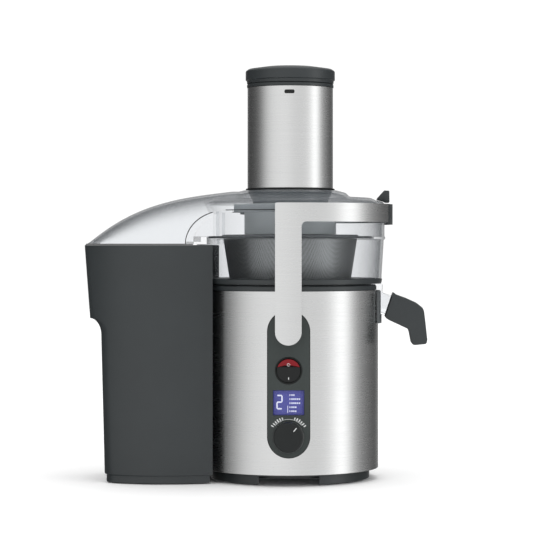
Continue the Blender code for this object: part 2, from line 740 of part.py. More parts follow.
def bowl_outlet(frame):
    """The duct under the bowl's floor that leads the juice out to the nozzle."""
    reach = 0.004
    wall = 0.0022
    top = BOWL_BOTTOM - GAP
    back = -0.0135
    outline = [
        (0.069, top), (0.0972, top), along_spout(-0.0150, NOZZLE_HALF), along_spout(reach, NOZZLE_HALF),
        along_spout(reach, -NOZZLE_HALF), along_spout(back, -NOZZLE_HALF), (0.0885, 0.1735), (0.069, 0.1800),
    ]
    passage = [
        (0.0725, 0.21), (0.0895, 0.21), (0.0895, 0.1985), along_spout(0.0, NOZZLE_HALF - wall),
        along_spout(0.02, NOZZLE_HALF - wall), along_spout(0.02, wall - NOZZLE_HALF),
        along_spout(back, wall - NOZZLE_HALF), (0.0725, 0.1825),
    ]
    half = SPOUT_HALF_WIDTH - SPOUT_WALL - 2 * GAP
    duct = add("bowl_outlet", prism(outline, -half, half, "Y"), frame, "bowl_plastic")
    apron = ring_sector(0.0932, 0.0964, 0.245, 0.1630, 0.1970, 6)
    boolean(duct, "UNION", apron, frame)
    cut(duct, frame, prism(passage, wall - half, half - wall, "Y"))


def basket(frame):
    """The spinning basket: plastic floor with its hub, steel sieve, plastic rim and cutting disc."""
    hub = [
        (0.0, 0.2194), (0.0636, 0.2194), (0.0636, BASKET_FLOOR), (0.0216, BASKET_FLOOR), (0.0216, 0.2055),
        (0.0118, 0.2055), (0.0118, 0.2146), (0.0, 0.2146),
    ]
    add("basket_base", lathe(hub), frame, "grey_plastic")
    skin = 0.0011
    sieve = [
        (CONE_LOW_RADIUS - skin, SIEVE_BOTTOM), (CONE_LOW_RADIUS, SIEVE_BOTTOM),
        (CONE_HIGH_RADIUS, CONE_TOP), (CONE_HIGH_RADIUS - skin, CONE_TOP),
    ]
    add("filter_basket", lathe(sieve), frame, "bright_steel")
    rim = [
        (0.0693, CONE_TOP + GAP), (0.0855, CONE_TOP + GAP), (RIM_RADIUS, 0.2524), (RIM_RADIUS, 0.2535),
        (0.0855, 0.2541), (0.0720, 0.2541), (0.0712, 0.2556), (0.0693, 0.2556),
    ]
    add("basket_rim", lathe(rim), frame, "grey_plastic")
    disc = add(
        "cutting_disc",
        lathe([(0.0, DISC_BOTTOM), (DISC_RADIUS, DISC_BOTTOM), (DISC_RADIUS, DISC_TOP), (0.0, DISC_TOP)]),
        frame,
        "bright_steel",
    )
    teeth = bmesh.new()
    for ring, count in ((0.020, 6), (0.035, 10), (0.050, 14)):
        for index in range(count):
            tooth = box((-0.0020, 0.0020), (-0.0005, 0.0005), (0.2205, 0.2236))
            turn = Matrix.Rotation(math.tau * (index + ring * 10) / count, 4, "Z")
            bmesh.ops.transform(tooth, matrix=turn @ Matrix.Translation((ring, 0.0, 0.0)), verts=tooth.verts)
            merge(teeth, tooth)
    boolean(disc, "UNION", teeth, frame)


def juice_spout(frame):
    """The elbow that slides over the nozzle and turns the juice down into a glass."""
    inner = NOZZLE_HALF + GAP + 0.0001
    outline = [
        (0.1082, 0.1957), (0.1113, 0.1927), (0.1216, 0.1890), (0.1325, 0.1841), (0.1385, 0.1794),
        (0.1403, 0.1757), (0.1416, 0.1648), (0.1427, 0.1551), (0.1437, 0.1455), (0.1427, 0.1412),
        (0.1276, 0.1398), (0.1252, 0.1527), (0.1238, 0.1568), (0.1034, 0.1663), (0.0992, 0.1690),
    ]
    passage = [
        along_spout(-0.012, inner), along_spout(0.012, inner), (0.1315, 0.1822), (0.1366, 0.1780),
        (0.1381, 0.1749), (0.1394, 0.1645), (0.1413, 0.1460), (0.1419, 0.1380), (0.1296, 0.1380),
        (0.1276, 0.1534), (0.1256, 0.1586), along_spout(0.004, -inner), along_spout(-0.012, -inner),
    ]
    elbow = prism(outline, -SPOUT_HALF_WIDTH, SPOUT_HALF_WIDTH, "Y")
    spout = add("juice_spout", elbow, frame, "dark_plastic")
    half = SPOUT_HALF_WIDTH - SPOUT_WALL
    cut(spout, frame, prism(passage, -half, half, "Y"))


# ---------------------------------------------------------------- lid, chute and pusher


def dome_rise(share):
    """Height of the dome's ridge as a share of its full height, from its left end to the chute."""
    straight = 0.32
    steepness = 3.15
    return straight * share + (1 - straight) * (1 - (1 - share) ** steepness)


def dome(inset, drop):
    """The raised cover over the container, as a solid: rounded across, its ridge rising to the right."""
    shares = [0.075, 0.14, 0.22, 0.33, 0.46, 0.62, 0.80, 1.0]
    shares = [0.05] + shares[1:] if inset else [0.008, 0.03] + shares
    stations = [DOME_LEFT + (CREST_X - DOME_LEFT) * share for share in shares] + [DOME_RIGHT]
    shares.append(1.0)
    bulge = 2 / DOME_EXPONENT
    rings = []
    for x, share in zip(stations, shares):
        width = half_width(x, inset + DOME_INSET)
        height = DOME_HEIGHT * dome_rise(share) - inset
        ring = []
        steps = 14
        for step in range(steps + 1):
            angle = math.pi * step / steps
            across = math.copysign(abs(math.cos(angle)) ** bulge, math.cos(angle))
            ring.append((x, width * across, DOME_BASE + height * math.sin(angle) ** bulge))
        if drop:
            ring += [(x, -width, DOME_BASE - drop), (x, width, DOME_BASE - drop)]
        rings.append(ring)
    return loft(rings)


def lid_cover(frame):
    """The clear lid: a round cover over the bowl, joined to the dome over the container."""
    outer = [
        (SLEEVE_INNER, LID_TOP), (0.0500, LID_TOP), (0.0585, 0.2996), (0.0620, 0.2962), (0.0640, 0.2954),
        (0.0850, 0.2942), (0.0900, 0.2920), (0.0972, 0.2900), (LID_RADIUS, 0.2876), (LID_RADIUS, 0.27),
        (SLEEVE_INNER, 0.27),
    ]
    inner_radius = LID_RADIUS - LID_WALL
    inner = [
        (0.0, LID_TOP - 0.0026), (0.0484, LID_TOP - 0.0026), (0.0565, 0.2971), (0.0600, 0.2937),
        (0.0640, 0.2928), (0.0845, 0.2917), (0.0895, 0.2895), (inner_radius - 0.001, 0.2875),
        (inner_radius, 0.2865), (inner_radius, 0.26), (0.0, 0.26),
    ]
    lid = add("lid", lathe(outer), frame, "clear_plastic")
    boolean(lid, "UNION", dome(0.0, 0.0), frame)
    below_seam = seam(GAP) + [(SEAM_LEFT - GAP, 0.20), (0.15, 0.20), (0.15, LID_BOTTOM)]
    cut(
        lid,
        frame,
        lathe(inner),
        dome(0.0024, 0.02),
        prism(below_seam, -0.12, 0.12, "Y"),
    )


def lid_fittings(frame):
    """The lid's seal and the lug over the arm's band."""
    add("lid_seal", ring_sector(0.0930, 0.0955, 2.2, 0.2780, 0.2862, 24), frame, "rubber")
    outline = [
        (0.1043, 0.2893), (0.1041, 0.3018), (0.0986, 0.3020), (0.0902, 0.2926), (0.0980, 0.2904),
        (0.1000, 0.2893),
    ]
    add("lid_lug", prism(outline, -0.011, 0.011, "Y"), frame, "dark_plastic")


def chute(frame):
    """The feed chute: plastic tube with a skirt in the bowl, collar, steel sleeve with its key, top ring."""
    flange = SLEEVE_INNER - GAP
    profile = [
        (CHUTE_BORE, CHUTE_BOTTOM), (CHUTE_OUTER, CHUTE_BOTTOM), (CHUTE_OUTER, SKIRT_TOP - 0.002),
        (SKIRT_INNER, SKIRT_TOP - 0.002), (SKIRT_INNER, SKIRT_BOTTOM), (SKIRT_OUTER, SKIRT_BOTTOM),
        (SKIRT_OUTER, SKIRT_TOP), (CHUTE_OUTER, SKIRT_TOP), (CHUTE_OUTER, 0.290), (flange, 0.300),
        (flange, COLLAR_TOP), (CHUTE_OUTER, COLLAR_TOP), (CHUTE_OUTER, CHUTE_TOP), (CHUTE_BORE, CHUTE_TOP),
    ]
    add("feed_chute", lathe(profile), frame, "grey_plastic")
    add("chute_collar", tube(SLEEVE_INNER, 0.0468, LID_TOP + GAP, COLLAR_TOP), frame, "black_plastic")
    sheet = tube(SLEEVE_INNER, SLEEVE_RADIUS, COLLAR_TOP + GAP, CHUTE_TOP)
    sleeve = add("chute_sleeve", sheet, frame, "brushed_steel")
    slot = rounded_box((-0.00525, 0.00525), (0.4015, 0.4055), 0.0019)
    cut(sleeve, frame, prism(slot, -0.05, -0.04, "Y"))
    key = rounded_box((-0.00495, 0.00495), (0.4018, 0.4052), 0.0016)
    add("chute_key", prism(key, -0.0446, -0.0397, "Y"), frame, "black_plastic")
    ring = [
        (0.0382, CHUTE_TOP + GAP), (0.0456, CHUTE_TOP + GAP), (0.0456, 0.4128), (0.0448, 0.4137),
        (0.0382, 0.4137),
    ]
    add("chute_top_ring", lathe(ring), frame, "dark_plastic")


def pusher(frame):
    wall = 0.002
    socket_top = 0.4200
    body_top = socket_top - GAP
    body = [
        (0.0, PUSHER_BOTTOM), (PUSHER_RADIUS, PUSHER_BOTTOM), (PUSHER_RADIUS, body_top),
        (PUSHER_RADIUS - wall, body_top), (PUSHER_RADIUS - wall, PUSHER_BOTTOM + wall),
        (0.0, PUSHER_BOTTOM + wall),
    ]
    add("pusher_body", lathe(body), frame, "dark_plastic")
    socket = PUSHER_RADIUS + GAP
    cap = [
        (0.0, CAP_TOP), (0.0270, CAP_TOP), (0.0440, 0.4294), (0.0466, 0.4276), (CAP_RADIUS, 0.4264),
        (CAP_RADIUS, 0.4180), (0.0458, 0.4172), (0.0455, CAP_BOTTOM), (socket, CAP_BOTTOM),
        (socket, socket_top), (0.0, socket_top),
    ]
    add("pusher_cap", lathe(cap), frame, "dark_plastic")


def main():
    clear_scene()
    machine = empty("machine", (0.0, 0.0, 0.0))
    machine.location = (AXIS_X, 0.0, 0.0)
    base_plate(machine)
    rubber_feet(machine)
    motor_housing(machine)
    steel_wrap(machine)
    top_ring(machine)
    shaft_seal(machine)
    cord_gland(machine)
    motor_stator(machine)
    motor_rotor(empty("motor_spindle", (0.0, 0.0, 0.0), machine))

    control_panel(machine)
    display(machine)
    rocker_frame = empty("rocker_axis", (0.0, ROCKER_AXIS_Y, ROCKER_Z), machine)
    rocker_frame.rotation_euler.x = ROCKER_TILT
    power_switch(machine, rocker_frame)
    dial_frame = empty("dial_axis", (0.0, -0.0933, DIAL_Z), machine)
    dial_frame.rotation_euler.y = DIAL_TURN
    speed_dial(machine, dial_frame)
    control_board(machine)
    interlock_switch(machine)
    locking_arm(machine, empty("arm_axis", (0.0, 0.0, PIVOT_Z), machine))

    pulp_container(empty("container_slide", (BULGE_X, 0.0, 0.0), machine))
    bowl_seat = empty("bowl_seat", (0.0, 0.0, BOWL_BOTTOM), machine)
    filter_bowl(bowl_seat)
    bowl_outlet(bowl_seat)
    juice_spout(empty("spout_slide", SPOUT_MOUTH, bowl_seat))
    basket(empty("basket_spindle", (0.0, 0.0, BASKET_FLOOR), bowl_seat))
    lid_seat = empty("lid_seat", (0.0, 0.0, LID_BOTTOM), bowl_seat)
    lid_cover(lid_seat)
    lid_fittings(lid_seat)
    chute(lid_seat)
    pusher(empty("pusher_slide", (0.0, 0.0, CHUTE_TOP), lid_seat))


main()
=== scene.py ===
"""Centrifugal juicer: the visual model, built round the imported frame."""

import math

import bmesh
import bpy
from mathutils import Matrix, Vector


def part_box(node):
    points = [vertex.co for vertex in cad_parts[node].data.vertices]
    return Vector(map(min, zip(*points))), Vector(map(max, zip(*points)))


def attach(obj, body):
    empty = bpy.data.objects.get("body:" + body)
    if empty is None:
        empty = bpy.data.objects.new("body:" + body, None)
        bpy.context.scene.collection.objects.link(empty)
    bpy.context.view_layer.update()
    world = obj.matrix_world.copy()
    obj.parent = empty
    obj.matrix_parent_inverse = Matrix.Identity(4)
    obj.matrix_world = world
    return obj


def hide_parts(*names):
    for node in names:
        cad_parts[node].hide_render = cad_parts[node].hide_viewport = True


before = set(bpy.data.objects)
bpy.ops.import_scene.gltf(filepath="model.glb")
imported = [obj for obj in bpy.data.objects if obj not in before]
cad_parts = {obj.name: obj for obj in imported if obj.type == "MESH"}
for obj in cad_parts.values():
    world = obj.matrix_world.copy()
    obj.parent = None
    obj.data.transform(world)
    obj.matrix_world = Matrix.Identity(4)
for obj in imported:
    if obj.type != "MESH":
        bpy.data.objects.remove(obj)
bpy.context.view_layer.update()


def middle(node):
    """Centre of a CAD node's box."""
    low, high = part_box(node)
    return (low + high) / 2


# Shapes are drawn in metres about the motor's axis, and piece() moves them there.
AXIS = Vector((middle("steel_wrap").x, 0.0, 0.0))
GAP = 0.0003
ROUND = 160
SMALL_ROUND = 64

BODY_RADIUS = 0.0925
BODY_BOTTOM, BODY_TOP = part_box("steel_wrap")[0].z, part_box("steel_wrap")[1].z
BASE_RADIUS = 0.0832
BOWL_BOTTOM = 0.2045
BOWL_RADIUS = 0.0993
BOWL_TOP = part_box("filter_bowl")[1].z
SHELF_Z = 0.2535
SHELF_INNER = 0.088
LID_TOP = 0.302
LID_RADIUS = 0.0996
DOME_BASE = 0.2456
DOME_HEIGHT = 0.0554
DOME_LEFT, DOME_RIGHT = -0.2115, -0.0476
CREST_X = -0.0606
DOME_INSET = 0.0021
DOME_FULLNESS = 0.8
SEAM_RIGHT = -0.065
SEAM_LEFT = -0.106
CHUTE_TOP = 0.4097
ARM_INNER, ARM_OUTER = 0.102, 0.1078
PIVOT_Z = 0.1572
PIN_HOLE = 0.0053
GLAND_X, GLAND_Z = -0.030, 0.026
ROCKER_Z = middle("switch_bezel").z
DIAL_Z = 0.051
DIAL_Y = -0.0933
ROCKER_TILT = math.radians(6)
DIAL_TURN = math.radians(40)
PANEL_RADIUS = 0.0928
NOZZLE_HALF = 0.0111
SPOUT_SLOPE = math.radians(-18.6)
SPOUT_MOUTH = Vector((0.10735, 0.0, 0.1795))
SPOUT_HALF_WIDTH = 0.0178
BULGE_X = -0.130
BULGE_RIGHT_RADIUS = 0.157
BULGE_LEFT_RADIUS = 0.108
CONTAINER_DEPTH = 0.0725
CORNER_RADIUS = 0.019
HOLLOW_RADIUS = 0.101
CONTAINER_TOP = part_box("pulp_container")[1].z
CONTAINER_REACH = AXIS.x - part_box("pulp_container")[0].x
LOW_REACH = 0.1910
GRIP_BOTTOM, GRIP_TOP = 0.152, 0.169
GRIP_LOW_REACH, GRIP_HIGH_REACH = 0.1948, 0.2073

# ---------------- shapes


def arc(centre, radius, start, end, steps):
    """Points from one angle to another, both ends included."""
    turn = (end - start) / steps
    angles = [start + turn * step for step in range(steps + 1)]
    return [(centre[0] + radius * math.cos(a), centre[1] + radius * math.sin(a)) for a in angles]


def fillet(points, radius, steps=3, closed=True, limit=20):
    """The outline with its corners rounded, where they turn by more than a limit in degrees."""
    count = len(points)
    rounded = []
    for index, point in enumerate(points):
        here = Vector(point)
        if not closed and index in (0, count - 1):
            rounded.append(tuple(here))
            continue
        before = Vector(points[index - 1]) - here
        after = Vector(points[(index + 1) % count]) - here
        turn = math.pi - before.angle(after)
        if turn < math.radians(limit):
            rounded.append(tuple(here))
            continue
        back = min(radius * math.tan(turn / 2), 0.45 * before.length, 0.45 * after.length)
        start = here + before.normalized() * back
        end = here + after.normalized() * back
        for step in range(steps + 1):
            t = step / steps
            rounded.append(tuple(start * (1 - t) ** 2 + here * 2 * t * (1 - t) + end * t**2))
    return rounded


def lathe(profile, sides=ROUND, centre=(0.0, 0.0), soft=0.0):
    """A profile of (radius, z) points turned about Z. It may begin and end on the axis, on flat faces."""
    closed = profile[0][0] > 0.0
    if soft:
        profile = fillet(profile, soft, closed=closed)
    bm = bmesh.new()
    points = [bm.verts.new((radius, 0.0, z)) for radius, z in profile]
    edges = [bm.edges.new(pair) for pair in zip(points, points[1:])]
    if closed:
        edges.append(bm.edges.new((points[-1], points[0])))
    bmesh.ops.spin(
        bm, geom=points + edges, cent=(0, 0, 0), axis=(0, 0, 1), angle=math.tau, steps=sides, use_merge=True
    )
    bmesh.ops.remove_doubles(bm, verts=bm.verts, dist=1e-6)
    hubs = [vert for vert in bm.verts if math.hypot(vert.co.x, vert.co.y) < 1e-6]
    bmesh.ops.dissolve_verts(bm, verts=hubs)
    bmesh.ops.translate(bm, verts=bm.verts, vec=(*centre, 0.0))
    return bm


def tube(inner, outer, low, high, sides=ROUND, soft=0.0):
    return lathe([(inner, low), (outer, low), (outer, high), (inner, high)], sides, soft=soft)


def prism(outline, low, high, along="Z"):
    """An outline drawn flat and drawn out along Z, or along Y, where its points are (x, z)."""

    def place(a, b, depth):
        return (a, depth, b) if along == "Y" else (a, b, depth)

    bm = bmesh.new()
    face = bm.faces.new([bm.verts.new(place(a, b, low)) for a, b in outline])
    grown = bmesh.ops.extrude_face_region(bm, geom=[face])["geom"]
    moved = [item for item in grown if isinstance(item, bmesh.types.BMVert)]
    bmesh.ops.translate(bm, verts=moved, vec=place(0.0, 0.0, high - low))
    return bm


def box(x, y, z):
    return prism([(x[0], y[0]), (x[1], y[0]), (x[1], y[1]), (x[0], y[1])], z[0], z[1])


def rod(radius, low, high, centre, along="Y", sides=SMALL_ROUND):
    return prism(arc(centre, radius, 0.0, math.tau, sides)[:-1], low, high, along)


def frontward(outline, back=-0.06):
    """An (x, z) outline drawn out from inside the body to past its front."""
    return prism(outline, -0.1, back, "Y")


def obround(width, bottom, top, steps=36):
    """An upright slot shape, centred on x = 0."""
    radius = width / 2
    upper = arc((0.0, top - radius), radius, 0.0, math.pi, steps)
    lower = arc((0.0, bottom + radius), radius, math.pi, math.tau, steps)
    return upper + lower


def rounded_box(x, z, radius, steps=5):
    outline = [(x[0], z[0]), (x[1], z[0]), (x[1], z[1]), (x[0], z[1])]
    return fillet(outline, radius, steps)


def loft(rings):
    """A closed skin through rings that have the same number of points."""
    bm = bmesh.new()
    rows = [[bm.verts.new(point) for point in ring] for ring in rings]
    count = len(rows[0])
    for lower, upper in zip(rows, rows[1:]):
        for index in range(count):
            after = (index + 1) % count
            bm.faces.new((lower[index], lower[after], upper[after], upper[index]))
    bm.faces.new(rows[0])
    bm.faces.new(rows[-1])
    return bm


def ring_sector(inner, outer, half_angle, low, high, steps=48):
    """Part of a ring, centred on the +X side."""
    outside = arc((0.0, 0.0), outer, -half_angle, half_angle, steps)
    inside = arc((0.0, 0.0), inner, half_angle, -half_angle, steps)
    return prism(outside + inside, low, high)


def boxes_round(count, x, y, z):
    """One box set evenly round the motor's axis, a number of times."""
    bm = bmesh.new()
    for index in range(count):
        merge(bm, turned(box(x, y, z), Matrix.Rotation(math.tau * index / count, 4, "Z")))
    return bm


def merge(target, source):
    """Adds one shape's faces to another's."""
    scratch = bpy.data.meshes.new("scratch")
    source.to_mesh(scratch)
    source.free()
    target.from_mesh(scratch)
    bpy.data.meshes.remove(scratch)


def turned(bm, matrix):
    bmesh.ops.transform(bm, matrix=matrix, verts=bm.verts)
    return bm


def about(point, angle, axis):
    """A turn about an axis through a point."""
    place = Matrix.Translation(point)
    return place @ Matrix.Rotation(angle, 4, axis) @ place.inverted()


# ---------------- pieces


def shown(name, data):
    """An object of some data, put in the scene."""
    obj = bpy.data.objects.new(name, data)
    bpy.context.scene.collection.objects.link(obj)
    return obj


def place(name, bm):
    """An object of a shape drawn about the motor's axis."""
    bmesh.ops.recalc_face_normals(bm, faces=bm.faces)
    bmesh.ops.translate(bm, verts=bm.verts, vec=AXIS)
    mesh = bpy.data.meshes.new(name)
    bm.to_mesh(mesh)
    bm.free()
    return shown(name, mesh)


def settle(obj):
    """Applies the object's modifiers."""
    graph = bpy.context.evaluated_depsgraph_get()
    mesh = bpy.data.meshes.new_from_object(obj.evaluated_get(graph))
    obj.modifiers.clear()
    obj.data = mesh


def soften(obj, width, segments=2):
    weld = obj.modifiers.new("weld", "WELD")
    weld.merge_threshold = 1e-6
    bevel = obj.modifiers.new("bevel", "BEVEL")
    bevel.width = width
    bevel.segments = segments
    bevel.limit_method = "ANGLE"
    bevel.angle_limit = math.radians(38)


def steady_normals(mesh):
    """Gives the faces that lie on an upright cylinder about the motor's axis that cylinder's own normals."""
    mesh.shade_smooth()
    mesh.set_sharp_from_angle(angle=math.radians(32))
    normals = [corner.vector.copy() for corner in mesh.corner_normals]
    for face in mesh.polygons:
        if abs(face.normal.z) > 0.01:
            continue
        spots = [mesh.vertices[index].co - AXIS for index in face.vertices]
        reach = [math.hypot(spot.x, spot.y) for spot in spots]
        if max(reach) - min(reach) > 2e-5 or min(reach) < 0.03:
            continue
        out = Vector((spots[0].x, spots[0].y, 0.0)).normalized()
        side = 1.0 if out.dot(face.normal) > 0 else -1.0
        if abs(out.dot(face.normal)) < 0.9:
            continue
        for spot, loop in zip(spots, face.loop_indices):
            normals[loop] = side * Vector((spot.x, spot.y, 0.0)).normalized()
    mesh.normals_split_custom_set(normals)


def piece(name, bm, body, finish, nodes=(), joins=(), trims=(), cuts=(), bevel=0.0, first=0.0):
    """A finished piece: its booleans and bevels applied, riding on a body and standing for CAD nodes."""
    obj = place(name, bm)
    if first:
        soften(obj, first, 3)
    tools = []
    for operation, shapes in (("UNION", joins), ("INTERSECT", trims), ("DIFFERENCE", cuts)):
        for shape in shapes:
            tool = place("tool", shape)
            tools.append(tool)
            step = obj.modifiers.new(operation, "BOOLEAN")
            step.operation = operation
            step.object = tool
    if bevel:
        soften(obj, bevel)
    settle(obj)
    for tool in tools:
        bpy.data.objects.remove(tool)
    steady_normals(obj.data)
    obj.data.materials.clear()
    obj.data.materials.append(finish)
    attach(obj, body)
    if nodes:
        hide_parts(*nodes)
    return obj


# ---------------- materials


class Surface:
    """A material whose nodes are made in the order they are used, from object coordinates."""

    def __init__(self, name):
        self.made = bpy.data.materials.new(name)
        self.made.use_nodes = True
        self.tree = self.made.node_tree
        self.shader = self.tree.nodes["Principled BSDF"]
        self.output = self.tree.nodes["Material Output"]
        self.where = self.node("TexCoord").outputs["Object"]

    def node(self, kind, inputs=None, **values):
        made = self.tree.nodes.new("ShaderNode" + kind)
        for key, value in values.items():
            setattr(made, key, value)
        for key, value in (inputs or {}).items():
            made.inputs[key].default_value = value
        return made

    def link(self, start, end):
        self.tree.links.new(start, end)

    def set(self, **values):
        """Numbers and colours that are the same all over, by socket name with _ for a space."""
        for key, value in values.items():
            socket = self.shader.inputs[key.replace("_", " ")]
            socket.default_value = (*value, 1.0) if isinstance(value, tuple) else value

    def noise(self, scale, stretch=(1.0, 1.0, 1.0), detail=3.0, roughness=0.55):
        mapping = self.node("Mapping", {"Scale": stretch})
        self.link(self.where, mapping.inputs["Vector"])
        made = self.node("TexNoise", {"Scale": scale, "Detail": detail, "Roughness": roughness})
        self.link(mapping.outputs["Vector"], made.inputs["Vector"])
        return made.outputs["Fac"]

    def span(self, value, low, high, start=0.3, end=0.7):
        """The value from start to end, spread over low to high."""
        limits = {"From Min": start, "From Max": end, "To Min": low, "To Max": high}
        made = self.node("MapRange", limits)
        self.link(value, made.inputs["Value"])
        return made.outputs["Result"]

    def colours(self, value, low, high, start=0.3, end=0.7):
        made = self.node("ValToRGB")
        for element, spot, colour in zip(made.color_ramp.elements, (start, end), (low, high)):
            element.position = spot
            element.color = (*colour, 1.0)
        self.link(value, made.inputs["Fac"])
        return made.outputs["Color"]

    def bump(self, height, distance, strength=1.0):
        made = self.node("Bump", {"Strength": strength, "Distance": distance})
        self.link(height, made.inputs["Height"])
        self.link(made.outputs["Normal"], self.shader.inputs["Normal"])

    def base(self, colour):
        self.link(colour, self.shader.inputs["Base Color"])


def shade(colour, factor):
    return tuple(channel * factor for channel in colour)


def brushed_steel(name, colour, rough, grain=(9.0, 9.0, 1500.0)):
    """Sheet steel with fine brush lines that run round it."""
    s = Surface(name)
    lines = s.noise(1.0, grain, 4.0, 0.7)
    broad = s.noise(1.0, (30.0, 30.0, 600.0), 2.0)
    s.base(s.colours(lines, shade(colour, 0.97), shade(colour, 1.02), 0.32, 0.68))
    s.link(s.span(broad, rough - 0.01, rough + 0.02), s.shader.inputs["Roughness"])
    s.bump(lines, 0.000002, 0.22)
    tangent = s.node("Tangent", direction_type="RADIAL", axis="Z")
    s.link(tangent.outputs["Tangent"], s.shader.inputs["Tangent"])
    s.set(Metallic=1.0, Anisotropic=0.55)
    return s.made


def moulded(name, colour, rough, grain=2600.0, depth=0.00003, **values):
    """Moulded plastic: a fine spark-eroded grain and a slight unevenness in gloss."""
    s = Surface(name)
    texture = s.noise(grain, detail=2.0)
    broad = s.noise(22.0, detail=2.0)
    s.base(s.colours(broad, shade(colour, 0.94), shade(colour, 1.06)))
    s.link(s.span(broad, rough - 0.03, rough + 0.04), s.shader.inputs["Roughness"])
    s.bump(texture, depth, 0.6)
    s.set(**values)
    return s.made


def see_through(name, tint, haze, rough, steepness, edge, shine=0.5):
    """Clear plastic: light passes with a slight tint, and the surface reflects more at a glance."""
    s = Surface(name)
    waves = s.noise(30.0, detail=1.0)
    s.bump(waves, 0.0001, 0.2)
    s.set(Base_Color=haze, Roughness=rough, Specular_IOR_Level=shine)
    clear = s.node("BsdfTransparent", {"Color": (*tint, 1.0)})
    facing = s.node("LayerWeight", {"Blend": 0.5})
    glance = s.node("Math", {1: steepness}, operation="POWER")
    s.link(facing.outputs["Facing"], glance.inputs[0])
    amount = s.span(glance.outputs[0], edge[0], edge[1], 0.0, 1.0)
    mix = s.node("MixShader")
    s.link(amount, mix.inputs[0])
    s.link(clear.outputs[0], mix.inputs[1])
    s.link(s.shader.outputs[0], mix.inputs[2])
    s.link(mix.outputs[0], s.output.inputs["Surface"])
    return s.made


def perforated_steel(name):
    """The sieve: bright steel pierced by close rows of pinholes."""
    s = Surface(name)
    holes = s.node("TexVoronoi", {"Scale": 900.0, "Randomness": 0.15})
    s.link(s.where, holes.inputs["Vector"])
    s.base(s.colours(holes.outputs["Distance"], (0.05, 0.05, 0.05), (0.32, 0.33, 0.33), 0.22, 0.34))
    s.bump(holes.outputs["Distance"], 0.0001, 0.6)
    s.set(Metallic=0.85, Roughness=0.38)
    return s.made


def laminated(name, colour, count):
    """A stack of thin iron sheets, seen as fine rings up its side."""
    s = Surface(name)
    ripple = {"Scale": count, "Distortion": 0.4}
    wave = s.node("TexWave", ripple, wave_type="BANDS", bands_direction="Z")
    s.link(s.where, wave.inputs["Vector"])
    s.base(s.colours(wave.outputs["Fac"], shade(colour, 0.55), colour))
    s.bump(wave.outputs["Fac"], 0.0002, 0.8)
    s.set(Metallic=1.0, Roughness=0.45)
    return s.made


def screen(name):
    """The lit display: a deep blue with a faint grid of dots."""
    s = Surface(name)
    grid = s.node("TexVoronoi", {"Scale": 3200.0, "Randomness": 0.0}, distance="CHEBYCHEV")
    s.link(s.where, grid.inputs["Vector"])
    blue = s.colours(grid.outputs["Distance"], (0.088, 0.090, 0.36), (0.070, 0.072, 0.31), 0.3, 0.5)
    s.base(blue)
    s.link(blue, s.shader.inputs["Emission Color"])
    s.set(Roughness=0.25, Emission_Strength=0.25)
    return s.made


STEEL = brushed_steel("brushed_steel", (0.735, 0.740, 0.738), 0.26)
BRIGHT = brushed_steel("turned_steel", (0.70, 0.70, 0.70), 0.22, (200.0, 200.0, 900.0))
DARK = moulded("dark_plastic", (0.024, 0.029, 0.031), 0.36)
PANEL = moulded("panel_plastic", (0.034, 0.042, 0.040), 0.36, 3600.0, 0.00002, Specular_IOR_Level=0.35)
BLACK = moulded("black_plastic", (0.008, 0.009, 0.009), 0.42, Specular_IOR_Level=0.30)
KNOB = moulded("knob_plastic", (0.011, 0.013, 0.013), 0.38, 3600.0, 0.00002, Specular_IOR_Level=0.28)
GREY = moulded("grey_plastic", (0.28, 0.30, 0.31), 0.38)
RIM = moulded("rim_plastic", (0.090, 0.098, 0.102), 0.38)
CHUTE = moulded("chute_plastic", (0.22, 0.24, 0.25), 0.30, 2600.0, 0.00002, Alpha=0.80)
SKIRT = moulded("skirt_plastic", (0.46, 0.49, 0.50), 0.30, 2600.0, 0.00002, Alpha=0.85)
RUBBER = moulded("rubber", (0.014, 0.014, 0.014), 0.80, 1800.0, 0.00006)
RED = moulded("red_lens", (0.20, 0.006, 0.011), 0.22, 500.0, 0.00001, Specular_IOR_Level=0.25)
WHITE = moulded("white_print", (0.74, 0.76, 0.76), 0.50, 3600.0, 0.00001)
CLEAR = see_through("clear_plastic", (0.970, 0.976, 0.982), (0.11, 0.12, 0.13), 0.06, 2.6, (0.03, 0.85), 0.22)
BOWL = see_through("bowl_plastic", (0.965, 0.970, 0.976), (0.16, 0.17, 0.18), 0.08, 2.4, (0.03, 0.80), 0.35)
SIEVE = perforated_steel("perforated_steel")
SCREEN = screen("screen_blue")
GLOW = moulded("screen_white", (0.62, 0.64, 0.84), 0.30, 3600.0, 0.00001, Emission_Strength=0.35)
COPPER = laminated("copper_winding", (0.70, 0.32, 0.17), 260.0)
IRON = laminated("laminated_iron", (0.30, 0.30, 0.31), 320.0)
BOARD = moulded("circuit_board", (0.02, 0.14, 0.05), 0.45, 900.0, 0.00002)

# ---------------- base and body


